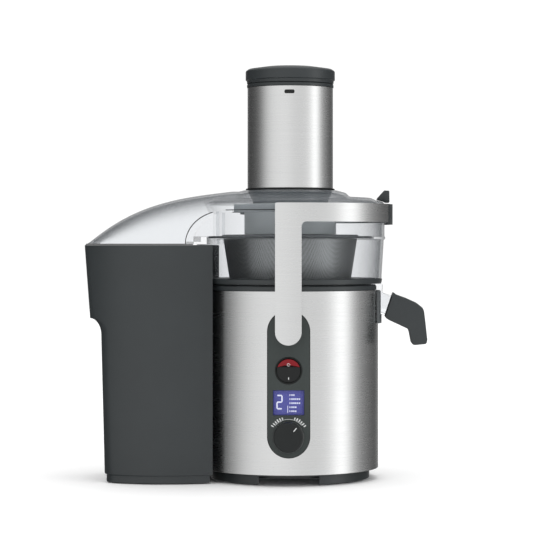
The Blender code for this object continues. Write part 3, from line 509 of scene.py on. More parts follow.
def base():
    """The foot plate with its air slots, and the four feet."""
    profile = [(0.0, 0.001), (BASE_RADIUS, 0.001), (BASE_RADIUS, 0.0112), (0.0, 0.0112)]
    hollow = BASE_RADIUS - 0.0065
    slots = bmesh.new()
    for row in range(-3, 4):
        y = row * 0.009
        merge(slots, prism(rounded_box((-0.022, 0.022), (y - 0.0018, y + 0.0018), 0.0017), 0.0, 0.02))
    cuts = [
        lathe([(0.0, -0.001), (hollow, -0.001), (hollow, 0.006), (0.0, 0.006)]),
        box((-0.031, 0.031), (-0.1, -0.066), (-0.001, 0.0095)),
        slots,
    ]
    plate = lathe(profile, soft=0.0005)
    piece("foot_plate", plate, "base", DARK, ["base_plate"], cuts=cuts, bevel=0.0003)
    for index in range(4):
        node = f"rubber_foot_{index + 1}"
        spot = middle(node) - AXIS
        profile = [(0.0, 0.0), (0.0090, 0.0), (0.0100, 0.0010), (0.0100, 0.0057), (0.0, 0.0057)]
        pad = lathe(profile, 48, (spot.x, spot.y), 0.0006)
        piece(f"rubber_pad_{index + 1}", pad, "base", RUBBER, [node])


def outlet_recess():
    return box((0.066, 0.1), (-0.021, 0.021), (0.1640, 0.2100))


def rear_holes():
    return [rod(PIN_HOLE, 0.07, 0.1, (0.0, PIVOT_Z)), rod(0.0074, 0.07, 0.1, (GLAND_X, GLAND_Z))]


def body():
    """The motor tub, the steel sheet round it, the ring on top, the shaft seal and the cord outlet."""
    inner, flange = 0.0850, 0.0910
    tub = [
        (inner, 0.0118), (flange, 0.0118), (flange, 0.016), (0.0875, 0.0175),
        (0.0875, 0.189), (flange, 0.190), (flange, 0.1974), (0.088, 0.1974),
        (0.0875, 0.1945), (0.020, 0.1945), (0.020, 0.191), (inner, 0.191),
    ]
    cuts = [box((-0.0235, 0.0235), (-0.1, -0.06), (0.026, 0.182)), outlet_recess(), *rear_holes()]
    tub = lathe(tub, soft=0.0006)
    piece("motor_tub", tub, "base", BLACK, ["motor_housing"], cuts=cuts)

    sheet = tube(BODY_RADIUS - 0.0012, BODY_RADIUS, BODY_BOTTOM, BODY_TOP, soft=0.0004)
    opening = frontward(obround(0.0430, 0.0294, 0.1785))
    cuts = [opening, outlet_recess(), *rear_holes()]
    piece("body_sheet", sheet, "base", STEEL, ["steel_wrap"], cuts=cuts)

    ring = [
        (0.060, BODY_TOP + GAP), (0.0936, BODY_TOP + GAP), (0.0936, 0.2022), (0.0928, 0.2030),
        (0.086, 0.2030), (0.086, BOWL_BOTTOM - GAP), (0.060, BOWL_BOTTOM - GAP),
    ]
    cuts = [box((0.05, 0.1), (-0.025, 0.025), (0.19, 0.21))]
    ring = lathe(ring, soft=0.0004)
    piece("top_trim", ring, "base", DARK, ["top_ring"], cuts=cuts)

    seal = [
        (0.0162, 0.1900), (0.0197, 0.1900), (0.0197, 0.1912), (0.0188, 0.1918), (0.0197, 0.1924),
        (0.0197, 0.1940), (0.0186, 0.1948), (0.0180, 0.1962), (0.0166, 0.1962), (0.0162, 0.1955),
    ]
    piece("shaft_gaiter", lathe(seal, SMALL_ROUND, soft=0.0003), "base", RUBBER, ["shaft_seal"])

    profile = [(0.0036, 0.0700), (0.0070, 0.0700), (0.0070, 0.0915), (0.0100, 0.0915), (0.0100, 0.0945)]
    for ring in range(3):
        start = 0.0952 + ring * 0.0026
        profile += [(0.0062, start), (0.0070, start + 0.0006), (0.0070, start + 0.0018)]
    profile += [(0.0060, 0.1035), (0.0036, 0.1035)]
    lay = Matrix.Translation((GLAND_X, 0.0, GLAND_Z)) @ Matrix.Rotation(-math.pi / 2, 4, "X")
    gland = turned(lathe(profile, 48, soft=0.0003), lay)
    piece("cord_outlet", gland, "base", RUBBER, ["cord_gland"])


# ---------------- controls

# The bars that draw a 2 in a box one unit wide and high, from the top down.
TWO = [
    ((0.12, 1.0), (0.88, 1.0)), ((1.0, 0.94), (1.0, 0.56)), ((0.12, 0.5), (0.88, 0.5)),
    ((0.0, 0.44), (0.0, 0.06)), ((0.12, 0.0), (0.88, 0.0)),
]


def stroke(start, end, width, front, back):
    """A flat bar with pointed ends between two points (x, z) facing the front."""
    a, b = Vector(start), Vector(end)
    along = (b - a).normalized()
    side = Vector((-along.y, along.x)) * width / 2
    tip = along * width / 2
    outline = [a - tip, a + side, b + side, b + tip, b - side, a - side]
    return prism([tuple(point) for point in outline], front, back, "Y")


def figure_two(x, z, width, height, thick, face):
    bm = bmesh.new()
    for bar in TWO:
        ends = [(x + share[0] * width, z + share[1] * height) for share in bar]
        merge(bm, stroke(*ends, thick, *face))
    return bm


def panel():
    """The dark panel on the front, with its display, rocker switch and dial."""
    shell = tube(0.088, PANEL_RADIUS, 0.02, 0.19)
    window = rounded_box((-0.01595, 0.01595), (0.0724, 0.0979), 0.001)
    cuts = [
        frontward(window, -0.07),
        rod(0.0139, -0.1, -0.07, (0.0, ROCKER_Z)),
        rod(0.0036, -0.1, -0.07, (0.0, DIAL_Z)),
        rod(PIN_HOLE, -0.1, -0.07, (0.0, PIVOT_Z)),
    ]
    outline = frontward(obround(0.0424, 0.0297, 0.1782))
    nodes = ["control_panel"]
    piece("fascia", shell, "base", PANEL, nodes, trims=[outline], cuts=cuts, bevel=0.0004)

    edge = tube(BODY_RADIUS + 0.0001, PANEL_RADIUS + 0.0001, 0.02, 0.19)
    inside = frontward(obround(0.0426, 0.0296, 0.1783))
    outline = frontward(obround(0.0438, 0.0290, 0.1789))
    piece("fascia_edge", edge, "base", BLACK, trims=[outline], cuts=[inside])

    low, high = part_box("display_module")
    half = (high.x - low.x) / 2
    module = box((-half, half), (low.y, high.y), (low.z, high.z))
    piece("screen", module, "base", SCREEN, ["display_module"], bevel=0.0002)
    face = (low.y - 0.0002, low.y + 0.0002)
    marks = figure_two(-0.0118, low.z + 0.0062, 0.0050, 0.0135, 0.0015, face)
    for row, count in enumerate((3, 6, 6, 4, 4)):
        z = high.z - 0.0048 - row * 0.0041
        for step in range(count):
            start = 0.0008 + step * 0.0019
            size = 0.0013 if step else 0.0009
            merge(marks, box((start, start + size), face, (z - 0.0008, z + 0.0008)))
    merge(marks, stroke((-0.0010, low.z + 0.0022), (-0.0010, low.z + 0.0092), 0.0006, *face))
    piece("screen_marks", marks, "base", GLOW)
    cover = tube(0.0898, PANEL_RADIUS, 0.06, 0.11)
    outline = frontward(rounded_box((-half, half), (low.z, high.z), 0.001))
    piece("screen_cover", cover, "base", CLEAR, ["display_window"], trims=[outline])

    bezel = rod(0.0136, -0.0965, -0.0882, (0.0, ROCKER_Z), sides=96)
    piece(
        "switch_ring", bezel, "base", BLACK, ["switch_bezel"],
        trims=[tube(0.0850, 0.0934, 0.09, 0.14)], cuts=[rod(0.0125, -0.1, -0.08, (0.0, ROCKER_Z), sides=96)],
        bevel=0.0003,
    )
    rocker()
    dial()


def rocker():
    """The round rocker switch, tilted, with the red window over its top and a sign on each half."""
    front, back = -0.0938, -0.0892
    centre = (0.0, ROCKER_Z)
    tilt = about((0.0, -0.0915, ROCKER_Z), ROCKER_TILT, "X")
    bound = math.radians(12)
    upper = arc(centre, 0.0139, bound, math.pi - bound, 24)
    lower = arc((0.0, ROCKER_Z - 0.0241), 0.0296, math.radians(113), math.radians(67), 24)
    well = turned(prism(upper + lower, front - 0.001, front + 0.0018, "Y"), tilt)
    button = turned(rod(0.0119, front, back, centre, sides=96), tilt)
    nodes = ["rocker_switch"]
    piece("rocker_button", button, "rocker", BLACK, nodes, cuts=[well], bevel=0.0003)
    raised = [(x, z + GAP) for x, z in lower]
    lens = turned(rod(0.0118, front, front + 0.0015, centre, sides=96), tilt)
    trim = turned(prism(upper + raised, front - 0.001, front + 0.003, "Y"), tilt)
    piece("rocker_window", lens, "rocker", RED, ["rocker_lens"], trims=[trim], bevel=0.0002)
    signs = bmesh.new()
    face = (front - 0.0001, front + 0.0002)
    merge(signs, stroke((0.0, ROCKER_Z - 0.0088), (0.0, ROCKER_Z - 0.0068), 0.0007, *face))
    ring = arc((0.0, ROCKER_Z + 0.0062), 0.0013, 0.0, math.tau, 24)[:-1]
    for start, end in zip(ring, ring[1:] + ring[:1]):
        merge(signs, stroke(start, end, 0.0005, *face))
    piece("rocker_signs", turned(signs, tilt), "rocker", WHITE)


def dial():
    """The speed knob with its line, and the scale printed over it."""
    profile = [
        (0.0, 0.0088), (0.0033, 0.0088), (0.0033, 0.0), (0.0157, 0.0), (0.0157, 0.0095),
        (0.0150, 0.0120), (0.0138, 0.0128), (0.0, 0.0128),
    ]
    lay = Matrix.Translation((0.0, DIAL_Y, DIAL_Z)) @ Matrix.Rotation(math.pi / 2, 4, "X")
    turn = about((0.0, DIAL_Y, DIAL_Z), DIAL_TURN, "Y")
    knob = turned(lathe(fillet(profile, 0.0008, 4, closed=False), 96), turn @ lay)
    slot = turned(box((-0.0007, 0.0007), (-0.12, -0.1050), (DIAL_Z + 0.0079, DIAL_Z + 0.0131)), turn)
    piece("speed_knob", knob, "dial", KNOB, ["dial_knob"], cuts=[slot])
    line = box((-0.0004, 0.0004), (-0.1061, -0.1053), (DIAL_Z + 0.0082, DIAL_Z + 0.0128))
    piece("knob_line", turned(line, turn), "dial", WHITE, ["dial_pointer"])

    scale = bmesh.new()
    face = (-0.0001, 0.0003)
    for side in (-1, 1):
        for index in range(6):
            angle = math.radians(side * (-57 + 7.6 * index))
            length = 0.0022 - 0.0002 * (index % 3)
            ends = [(r * math.sin(angle), DIAL_Z + r * math.cos(angle)) for r in (0.0184, 0.0184 + length)]
            merge(scale, stroke(*ends, 0.0012, *face))
    line = [arc((0.0, DIAL_Z), r, math.radians(40), math.radians(140), 30) for r in (0.0178, 0.0174)]
    merge(scale, prism(line[0] + line[1][::-1], *face, "Y"))
    for vert in scale.verts:
        vert.co.y -= math.sqrt(PANEL_RADIUS**2 - vert.co.x**2)
    piece("dial_scale", scale, "base", WHITE)


# ---------------- locking arm


def locking_arm():
    """The arm: two legs and a band made from one bent sheet, with a ribbed grip on the band."""
    half = 0.01335
    low, high = 0.2685, 0.2875
    corner = 0.005
    outline = (
        arc((0.0, PIVOT_Z), half, math.pi, math.tau, 40)
        + arc((half + corner, low - corner), corner, math.pi, math.pi / 2, 12)
        + [(0.115, low), (0.115, high)]
        + arc((-half + 0.002, high - 0.002), 0.002, math.pi / 2, math.pi, 6)
    )
    shell = tube(ARM_INNER, ARM_OUTER, 0.13, 0.30, 200)
    grip_angle = math.radians(18)
    cuts = [
        ring_sector(0.1047, 0.112, grip_angle + 0.003, 0.26, 0.30),
        rod(PIN_HOLE, -0.1053, -0.095, (0.0, PIVOT_Z)),
        rod(PIN_HOLE, 0.095, 0.1053, (0.0, PIVOT_Z)),
    ]
    piece(
        "arm_bar", shell, "arm", STEEL, ["locking_arm"],
        trims=[prism(outline, -0.12, 0.12, "Y")], cuts=cuts, bevel=0.0005,
    )
    pad = ring_sector(0.1050, ARM_OUTER, grip_angle, low - 0.0023, high)
    ribs = bmesh.new()
    for index in range(-4, 5):
        rib = box((0.1074, 0.112), (-0.0005, 0.0005), (low + 0.003, high - 0.003))
        merge(ribs, turned(rib, Matrix.Rotation(index * math.radians(3.4), 4, "Z")))
    piece("arm_pad", pad, "arm", DARK, ["arm_grip"], cuts=[ribs], bevel=0.0003)


# ---------------- pulp container


def circle_crossing(centre, radius, about_axis):
    """Where a circle meets one about the motor's axis, on the front side."""
    apart = math.hypot(*centre)
    along = (about_axis**2 - radius**2 + apart**2) / (2 * apart)
    across = math.sqrt(about_axis**2 - along**2)
    toward = (centre[0] / apart, centre[1] / apart)
    return (toward[0] * along - toward[1] * across, toward[1] * along + toward[0] * across)


def container_outline(reach, inset=0.0):
    """The container's plan: arcs along the front, the same along the back, hollow to the right."""
    right = BULGE_RIGHT_RADIUS - inset
    left = BULGE_LEFT_RADIUS - inset
    hollow = HOLLOW_RADIUS + inset
    right_centre = (BULGE_X, -CONTAINER_DEPTH + BULGE_RIGHT_RADIUS)
    left_centre = (BULGE_X, -CONTAINER_DEPTH + BULGE_LEFT_RADIUS)
    horn = circle_crossing(right_centre, right, hollow)
    start = math.atan2(horn[1] - right_centre[1], horn[0] - right_centre[0])
    apart = BULGE_LEFT_RADIUS - CORNER_RADIUS
    turn = -math.pi / 2 - math.asin((reach + BULGE_X - CORNER_RADIUS) / apart)
    corner_centre = (left_centre[0] + apart * math.cos(turn), left_centre[1] + apart * math.sin(turn))
    front = (
        arc(right_centre, right, start, -math.pi / 2, 22)[:-1]
        + arc(left_centre, left, -math.pi / 2, turn, 30)[:-1]
        + arc(corner_centre, CORNER_RADIUS - inset, turn, -math.pi, 14)
    )
    back = [(x, -y) for x, y in reversed(front)]
    horn_angle = math.atan2(horn[1], horn[0])
    inside = arc((0.0, 0.0), hollow, -horn_angle, math.tau + horn_angle, 60)[1:-1]
    return front + back + inside


def reach_at(z, inset=0.0):
    """How far left the container reaches at a height, over its plinth, finger grip and flared top."""
    low, high = GRIP_BOTTOM + inset, GRIP_TOP + inset
    if z <= low:
        return LOW_REACH + (GRIP_LOW_REACH - LOW_REACH) * max(0.0, z - 0.0096) / (low - 0.0096)
    if z <= high:
        rise = (z - low) / (high - low)
        return GRIP_HIGH_REACH - (GRIP_HIGH_REACH - GRIP_LOW_REACH) * math.sqrt(max(0.0, 1 - rise**2))
    return GRIP_HIGH_REACH + (CONTAINER_REACH - GRIP_HIGH_REACH) * (z - high) / (CONTAINER_TOP - high)


def container():
    """The open bin for pulp, as one skin from its foot up, over its lip and down inside."""
    wall = 0.0025
    lip = 0.0010
    plinth = LOW_REACH - 0.0003
    curve = [(GRIP_TOP - GRIP_BOTTOM) * math.sin(math.pi / 2 * step / 10) for step in range(11)]
    levels = [(0.0010, 0.0024, plinth), (0.0014, 0.0018, plinth), (0.0080, 0.0018, plinth)]
    levels += [(0.0084, 0.0016, plinth), (0.0093, 0.0002, LOW_REACH), (0.0098, 0.0, LOW_REACH)]
    levels += [(z, 0.0, reach_at(z)) for z in (0.05, 0.10, 0.145, 0.1515)]
    levels += [(GRIP_BOTTOM + rise, 0.0, None) for rise in curve]
    levels = [(z, inset, reach_at(z) if reach is None else reach) for z, inset, reach in levels]
    levels += [(z, 0.0, reach_at(z)) for z in (0.176, 0.20, 0.225, CONTAINER_TOP - lip)]
    over = arc((lip, CONTAINER_TOP - lip), lip, math.pi, math.pi / 2, 4)[1:]
    over += arc((wall - lip, CONTAINER_TOP - lip), lip, math.pi / 2, 0.0, 4)
    levels += [(z, inset, reach_at(CONTAINER_TOP)) for inset, z in over]
    grip = [GRIP_BOTTOM + wall + rise for rise in reversed(curve)]
    down = [0.225, 0.20, 0.18, *grip, 0.148, 0.10, 0.05, 0.0110]
    levels += [(z, wall, reach_at(z, wall)) for z in down]
    levels += [(0.0080, wall + 0.0008, LOW_REACH), (0.0062, wall + 0.0030, LOW_REACH)]
    rings = [[(x, y, z) for x, y in container_outline(reach, inset)] for z, inset, reach in levels]
    bin_skin = loft(rings)
    piece("pulp_bin", bin_skin, "container", DARK, ["pulp_container"])


# ---------------- bowl and basket


def half_width(x, inset):
    """Half the width of the container's plan at a place along it, within its walls."""
    radius = BULGE_RIGHT_RADIUS if x > BULGE_X else BULGE_LEFT_RADIUS
    return math.sqrt((radius - inset) ** 2 - (x - BULGE_X) ** 2) - (radius - CONTAINER_DEPTH)


def throat_plan(inset, right, left=SEAM_LEFT, steps=20):
    """The container's plan between two places along it."""
    along = [right + (left - right) * step / steps for step in range(steps + 1)]
    front = [(x, -half_width(x, inset)) for x in along]
    return front + [(x, -y) for x, y in reversed(front)]


def seam(shift, steps=40):
    """The curve from the lid's edge down to the container's rim, where lid and bowl meet."""
    angles = [math.pi / 2 * step / steps for step in range(steps + 1)]
    run, rise = SEAM_LEFT - SEAM_RIGHT, BOWL_TOP - DOME_BASE
    return [(SEAM_RIGHT - shift + run * math.sin(a), DOME_BASE + shift + rise * math.cos(a)) for a in angles]


def bowl():
    """The clear bowl with its throat, the dark mat on its floor and the dark band round its foot."""
    profile = [
        (0.0222, BOWL_BOTTOM), (0.0950, BOWL_BOTTOM), (0.0959, 0.2070), (0.0985, 0.2500),
        (0.1000, 0.2512), (0.1000, 0.2530), (BOWL_RADIUS, 0.2542), (BOWL_RADIUS, BOWL_TOP),
        (0.0963, BOWL_TOP), (0.0963, SHELF_Z), (SHELF_INNER, SHELF_Z), (SHELF_INNER, 0.2513),
        (0.0955, 0.2508), (0.0929, 0.2085), (0.0919, 0.2075), (0.0255, 0.2075), (0.0255, 0.2160),
        (0.0222, 0.2160),
    ]
    above_seam = seam(0.0) + [(-0.2, DOME_BASE), (-0.2, 0.3), (SEAM_RIGHT, 0.3)]
    cheek = DOME_INSET + 0.0025
    cuts = [
        lathe([(0.0, 0.240), (SHELF_INNER, 0.240), (SHELF_INNER, 0.300), (0.0, 0.300)]),
        prism(throat_plan(cheek, -0.060, -0.110), SHELF_Z, 0.30),
        prism(throat_plan(cheek, -0.098, -0.110), 0.2482, 0.30),
        box((0.0730, 0.0890), (-0.015, 0.015), (0.20, 0.2085)),
        prism(above_seam, -0.1, 0.1, "Y"),
    ]
    throat = prism(throat_plan(DOME_INSET, -0.072), DOME_BASE, BOWL_TOP - 0.0001)
    shell = lathe(profile, soft=0.0005)
    piece("bowl_shell", shell, "bowl", BOWL, ["filter_bowl"], joins=[throat], cuts=cuts)
    mat = [(0.0665, 0.2077), (0.0916, 0.2077), (0.0925, 0.2100), (0.0665, 0.2092)]
    mat = lathe(mat, soft=0.0003)
    opening = box((0.0730, 0.0890), (-0.015, 0.015), (0.20, 0.22))
    piece("bowl_floor_mat", mat, "bowl", DARK, cuts=[opening])
    band = [
        (0.0953, 0.2046), (0.0961, 0.2070), (0.0963, 0.2095), (0.0967, 0.2095), (0.0965, 0.2070),
        (0.0957, 0.2046),
    ]
    piece("bowl_foot_band", lathe(band), "bowl", DARK)


def along_spout(distance, height):
    """A point (x, z) on the spout's inlet axis, raised across it."""
    u = (math.cos(SPOUT_SLOPE), math.sin(SPOUT_SLOPE))
    return (
        SPOUT_MOUTH.x + u[0] * distance - u[1] * height,
        SPOUT_MOUTH.z + u[1] * distance + u[0] * height,
    )


def outlet():
    """The duct that juice leaves the bowl by, and the bracket round it."""
    reach, wall, back = 0.004, 0.0022, -0.0135
    top = BOWL_BOTTOM - GAP
    outline = [
        (0.069, top), (0.0972, top), along_spout(-0.0150, NOZZLE_HALF), along_spout(reach, NOZZLE_HALF),
        along_spout(reach, -NOZZLE_HALF), along_spout(back, -NOZZLE_HALF), (0.0885, 0.1735), (0.069, 0.1800),
    ]
    passage = [
        (0.0725, 0.21), (0.0895, 0.21), (0.0895, 0.1985), along_spout(0.0, NOZZLE_HALF - wall),
        along_spout(0.02, NOZZLE_HALF - wall), along_spout(0.02, wall - NOZZLE_HALF),
        along_spout(back, wall - NOZZLE_HALF), (0.0725, 0.1825),
    ]
    half = SPOUT_HALF_WIDTH - 0.0023 - 2 * GAP
    duct = prism(fillet(outline, 0.002), -half, half, "Y")
    piece(
        "outlet_duct", duct, "bowl", BOWL, ["bowl_outlet"],
        cuts=[prism(passage, wall - half, half - wall, "Y")], bevel=0.0004,
    )
    bracket = ring_sector(0.0935, 0.0962, 0.245, 0.1630, 0.1970, 24)
    around = prism(fillet(outline, 0.002), -half - 0.0001, half + 0.0001, "Y")
    piece("outlet_bracket", bracket, "bowl", RIM, cuts=[around], bevel=0.0004)


def spout():
    """The bent spout that hangs on the outlet's nozzle."""
    inner = NOZZLE_HALF + GAP + 0.0001
    outline = [
        (0.1082, 0.1957), (0.1113, 0.1927), (0.1216, 0.1890), (0.1325, 0.1841), (0.1385, 0.1794),
        (0.1403, 0.1757), (0.1416, 0.1648), (0.1427, 0.1551), (0.1437, 0.1455), (0.1427, 0.1412),
        (0.1276, 0.1398), (0.1252, 0.1527), (0.1238, 0.1568), (0.1034, 0.1663), (0.0992, 0.1690),
    ]
    passage = [
        along_spout(-0.012, inner), along_spout(0.012, inner), (0.1315, 0.1822), (0.1366, 0.1780),
        (0.1381, 0.1749), (0.1394, 0.1645), (0.1413, 0.1460), (0.1419, 0.1380), (0.1296, 0.1380),
        (0.1276, 0.1534), (0.1256, 0.1586), along_spout(0.004, -inner), along_spout(-0.012, -inner),
    ]
    elbow = prism(fillet(outline, 0.004, 4, limit=4), -SPOUT_HALF_WIDTH, SPOUT_HALF_WIDTH, "Y")
    half = SPOUT_HALF_WIDTH - 0.0023
    hole = prism(fillet(passage, 0.004, 4, limit=4), -half, half, "Y")
    piece("spout_elbow", elbow, "spout", DARK, ["juice_spout"], cuts=[hole], first=0.0012)


def basket():
    """The basket that spins: its floor with the hub, the sieve, its rim and the toothed disc."""
    hub = [
        (0.0, 0.2194), (0.0636, 0.2194), (0.0636, 0.2168), (0.0216, 0.2168), (0.0216, 0.2055),
        (0.0118, 0.2055), (0.0118, 0.2146), (0.0, 0.2146),
    ]
    spokes = boxes_round(12, (0.024, 0.060), (-0.0009, 0.0009), (0.2160, 0.2176))
    hub = lathe(hub, soft=0.0005)
    piece("basket_floor", hub, "basket", GREY, ["basket_base"], cuts=[spokes])
    sieve = [(0.0629, 0.2092), (0.0640, 0.2092), (0.0705, 0.2516), (0.0694, 0.2516)]
    piece("sieve", lathe(sieve), "basket", SIEVE, ["filter_basket"])
    low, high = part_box("basket_rim")
    edge = (high.x - low.x) / 2
    rim = [
        (0.0693, low.z), (edge - 0.0007, low.z), (edge, low.z + 0.0005), (edge, low.z + 0.0016),
        (edge - 0.0007, low.z + 0.0022), (0.0720, low.z + 0.0022), (0.0712, high.z), (0.0693, high.z),
    ]
    piece("sieve_rim", lathe(rim, soft=0.0003), "basket", RIM, ["basket_rim"])
    teeth = bmesh.new()
    for ring, count in ((0.020, 6), (0.035, 10), (0.050, 14)):
        for index in range(count):
            outline = [(-0.0020, 0.2205), (0.0020, 0.2205), (0.0012, 0.2234), (-0.0006, 0.2236)]
            tooth = prism(outline, -0.0005, 0.0005, "Y")
            turn = Matrix.Rotation(math.tau * (index + ring * 10) / count, 4, "Z")
            merge(teeth, turned(tooth, turn @ Matrix.Translation((ring, 0.0, 0.0))))
    plate = [(0.0, 0.2197), (0.0600, 0.2197), (0.0600, 0.2210), (0.0, 0.2210)]
    plate = lathe(plate)
    piece("grating_disc", plate, "basket", BRIGHT, ["cutting_disc"], joins=[teeth])


def coupling():
    """The splined boss that the basket drops on to."""
    profile = [
        (0.0, 0.2063), (0.0043, 0.2063), (0.0043, 0.1965), (0.0150, 0.1965), (0.0150, 0.2035),
        (0.0112, 0.2045), (0.0104, 0.2140), (0.0, 0.2140),
    ]
    grooves = boxes_round(12, (0.0098, 0.0130), (-0.0008, 0.0008), (0.2050, 0.2150))
    boss = lathe(profile, SMALL_ROUND, soft=0.0005)
    piece("drive_boss", boss, "rotor", BLACK, ["drive_coupling"], cuts=[grooves])


# ---------------- lid, chute and pusher


def dome(inset, drop):
    """The raised cover over the container: rounded across, its ridge rising to the right."""
    stations = []
    steps = 44
    first = 0.05 if inset else 0.004
    for step in range(steps + 1):
        share = first + (1 - first) * (step / steps) ** 1.7
        stations.append((DOME_LEFT + (CREST_X - DOME_LEFT) * share, share))
    stations.append((DOME_RIGHT, 1.0))
    rings = []
    for x, share in stations:
        width = half_width(x, inset + DOME_INSET)
        rise = 0.32 * share + 0.68 * (1 - (1 - share) ** 3.15)
        height = DOME_HEIGHT * rise - inset
        ring = []
        around = 72
        for step in range(around + 1):
            angle = math.pi * step / around
            across = math.copysign(abs(math.cos(angle)) ** DOME_FULLNESS, math.cos(angle))
            ring.append((x, width * across, DOME_BASE + height * math.sin(angle) ** DOME_FULLNESS))
        if drop:
            ring += [(x, -width, DOME_BASE - drop), (x, width, DOME_BASE - drop)]
        rings.append(ring)
    return loft(rings)


def lid():
    """The clear lid with its dome, thin black strips along its seams that are painted shade at its edges, its
    gasket and the wedge.
    """
    outer = [
        (0.0441, LID_TOP), (0.0500, LID_TOP), (0.0585, 0.2996), (0.0620, 0.2962), (0.0640, 0.2954),
        (0.0850, 0.2942), (0.0900, 0.2920), (0.0972, 0.2900), (LID_RADIUS, 0.2876), (LID_RADIUS, 0.27),
        (0.0441, 0.27),
    ]
    inner = [
        (0.0, 0.2994), (0.0484, 0.2994), (0.0565, 0.2971), (0.0600, 0.2937), (0.0640, 0.2928),
        (0.0845, 0.2917), (0.0895, 0.2895), (0.0961, 0.2875), (0.0971, 0.2865), (0.0971, 0.26),
        (0.0, 0.26),
    ]
    edge = BOWL_TOP + GAP
    below_seam = seam(GAP) + [(SEAM_LEFT - GAP, 0.20), (0.15, 0.20), (0.15, edge)]
    cover = lathe(fillet(outer, 0.0030, 5, limit=8))
    hollow = lathe(fillet(inner, 0.0030, 5, closed=False, limit=8))
    piece(
        "lid_shell", cover, "lid_body", CLEAR, ["lid"], joins=[dome(0.0, 0.0)],
        cuts=[hollow, dome(0.0024, 0.02), prism(below_seam, -0.12, 0.12, "Y")],
    )
    # A thin black strip round the lid's lower edge: painted shade where the clear lid meets the clear bowl.
    round_lid = ring_sector(LID_RADIUS + 0.0002, LID_RADIUS + 0.0005, 2.27, edge - 0.0006, edge + 0.0003, 120)
    piece("seam_shade_round_lid", round_lid, "lid_body", BLACK)
    # A thin black strip down the throat's seam: painted shade where the clear lid and bowl meet.
    strip = seam(GAP) + list(reversed(seam(-0.0004)))
    plan = throat_plan(DOME_INSET - 0.0003, -0.055, -0.115)
    piece(
        "seam_shade_down_throat", prism(strip, -0.1, 0.0, "Y"), "lid_body", BLACK,
        trims=[prism(throat_plan(DOME_INSET - 0.0006, -0.055, -0.115), 0.24, 0.29)],
        cuts=[prism(plan, 0.23, 0.30), tube(0.0500, LID_RADIUS + 0.0001, 0.23, 0.30)],
    )
    # A thin black band along the dome's foot: painted shade at the clear dome's lower edge.
    edge_shade = prism(throat_plan(DOME_INSET - 0.0004, SEAM_LEFT - 0.001, DOME_LEFT - 0.0003), 0.2450, 0.2461)
    inside = prism(throat_plan(DOME_INSET - 0.0001, SEAM_LEFT + 0.01, DOME_LEFT), 0.24, 0.25)
    piece("dome_edge_shade", edge_shade, "lid_body", BLACK, cuts=[inside])
    seal = ring_sector(0.0930, 0.0955, 2.2, 0.2780, 0.2862, 120)
    piece("lid_gasket", seal, "lid_body", GREY, ["lid_seal"], bevel=0.0005)
    outline = [
        (0.1043, 0.2893), (0.1041, 0.3018), (0.0986, 0.3020), (0.0902, 0.2926), (0.0980, 0.2904),
        (0.1000, 0.2893),
    ]
    lug = prism(fillet(outline, 0.0012, 3), -0.011, 0.011, "Y")
    piece("lid_wedge", lug, "lid_body", DARK, ["lid_lug"], bevel=0.0006)


def chute():
    """The feed tube and its skirt, the collar, the steel sleeve with its key, and the rim."""
    bore, outer, flange, top = 0.0377, 0.0393, 0.0438, CHUTE_TOP
    profile = [
        (bore, 0.228), (outer, 0.228), (outer, 0.290), (flange, 0.300),
        (flange, 0.304), (outer, 0.304), (outer, top), (bore, top),
    ]
    feed = lathe(profile, soft=0.0005)
    piece("feed_tube", feed, "lid_body", CHUTE, ["feed_chute"])
    skirt = [
        (outer + 0.0001, 0.286), (0.0462, 0.286), (0.0462, 0.256), (0.0483, 0.256), (0.0483, 0.288),
        (outer + 0.0001, 0.288),
    ]
    piece("feed_skirt", lathe(skirt, soft=0.0004), "lid_body", SKIRT)
    collar = tube(0.0441, 0.0468, LID_TOP + GAP, 0.304, soft=0.0006)
    piece("feed_collar", collar, "lid_body", BLACK, ["chute_collar"])
    slot = prism(rounded_box((-0.00525, 0.00525), (0.4015, 0.4055), 0.0019), -0.05, -0.04, "Y")
    sheet = tube(0.0441, 0.0450, 0.3043, top, soft=0.0002)
    piece("feed_sleeve", sheet, "lid_body", STEEL, ["chute_sleeve"], cuts=[slot])
    key = prism(rounded_box((-0.00495, 0.00495), (0.4018, 0.4052), 0.0016), -0.0446, -0.0397, "Y")
    piece("feed_key", key, "lid_body", BLACK, ["chute_key"], bevel=0.0003)
    ring = [(0.0382, top + GAP), (0.0456, top + GAP), (0.0456, 0.4128), (0.0448, 0.4137), (0.0382, 0.4137)]
    ring = lathe(ring, soft=0.0005)
    piece("feed_rim", ring, "lid_body", DARK, ["chute_top_ring"])


def pusher():
    """The hollow pusher, grooved down its sides, and its cap."""
    plunger = [
        (0.0, 0.236), (0.0371, 0.236), (0.0371, 0.4197), (0.0351, 0.4197), (0.0351, 0.238), (0.0, 0.238),
    ]
    grooves = bmesh.new()
    for side in (-1, 1):
        merge(grooves, rod(0.002, 0.24, 0.415, (side * 0.0386, 0.0), "Z", 24))
    plunger = lathe(plunger, soft=0.0012)
    piece("plunger", plunger, "pusher", DARK, ["pusher_body"], cuts=[grooves])
    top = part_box("pusher_cap")[1].z
    cap = [
        (0.0, top), (0.0270, top), (0.0440, 0.4294), (0.0466, 0.4276), (0.0470, 0.4264),
        (0.0470, 0.4180), (0.0458, 0.4172), (0.0455, 0.4140), (0.0374, 0.4140),
        (0.0374, 0.4200), (0.0, 0.4200),
    ]
    cap = lathe(fillet(cap, 0.0006, closed=False, limit=8))
    piece("plunger_cap", cap, "pusher", DARK, ["pusher_cap"])


# ---------------- CAD nodes that stay

KEPT = {
    "motor_cradle motor_bridge": GREY,
    "stator_core rotor_core": IRON,
    "stator_winding_low stator_winding_high": COPPER,
    "bearing_low bearing_high motor_shaft dial_shaft pivot_pin_front pivot_pin_rear": BRIGHT,
    "cooling_fan switch_body speed_selector interlock_switch pivot_bush_front pivot_bush_rear": BLACK,
    "control_board": BOARD,
}

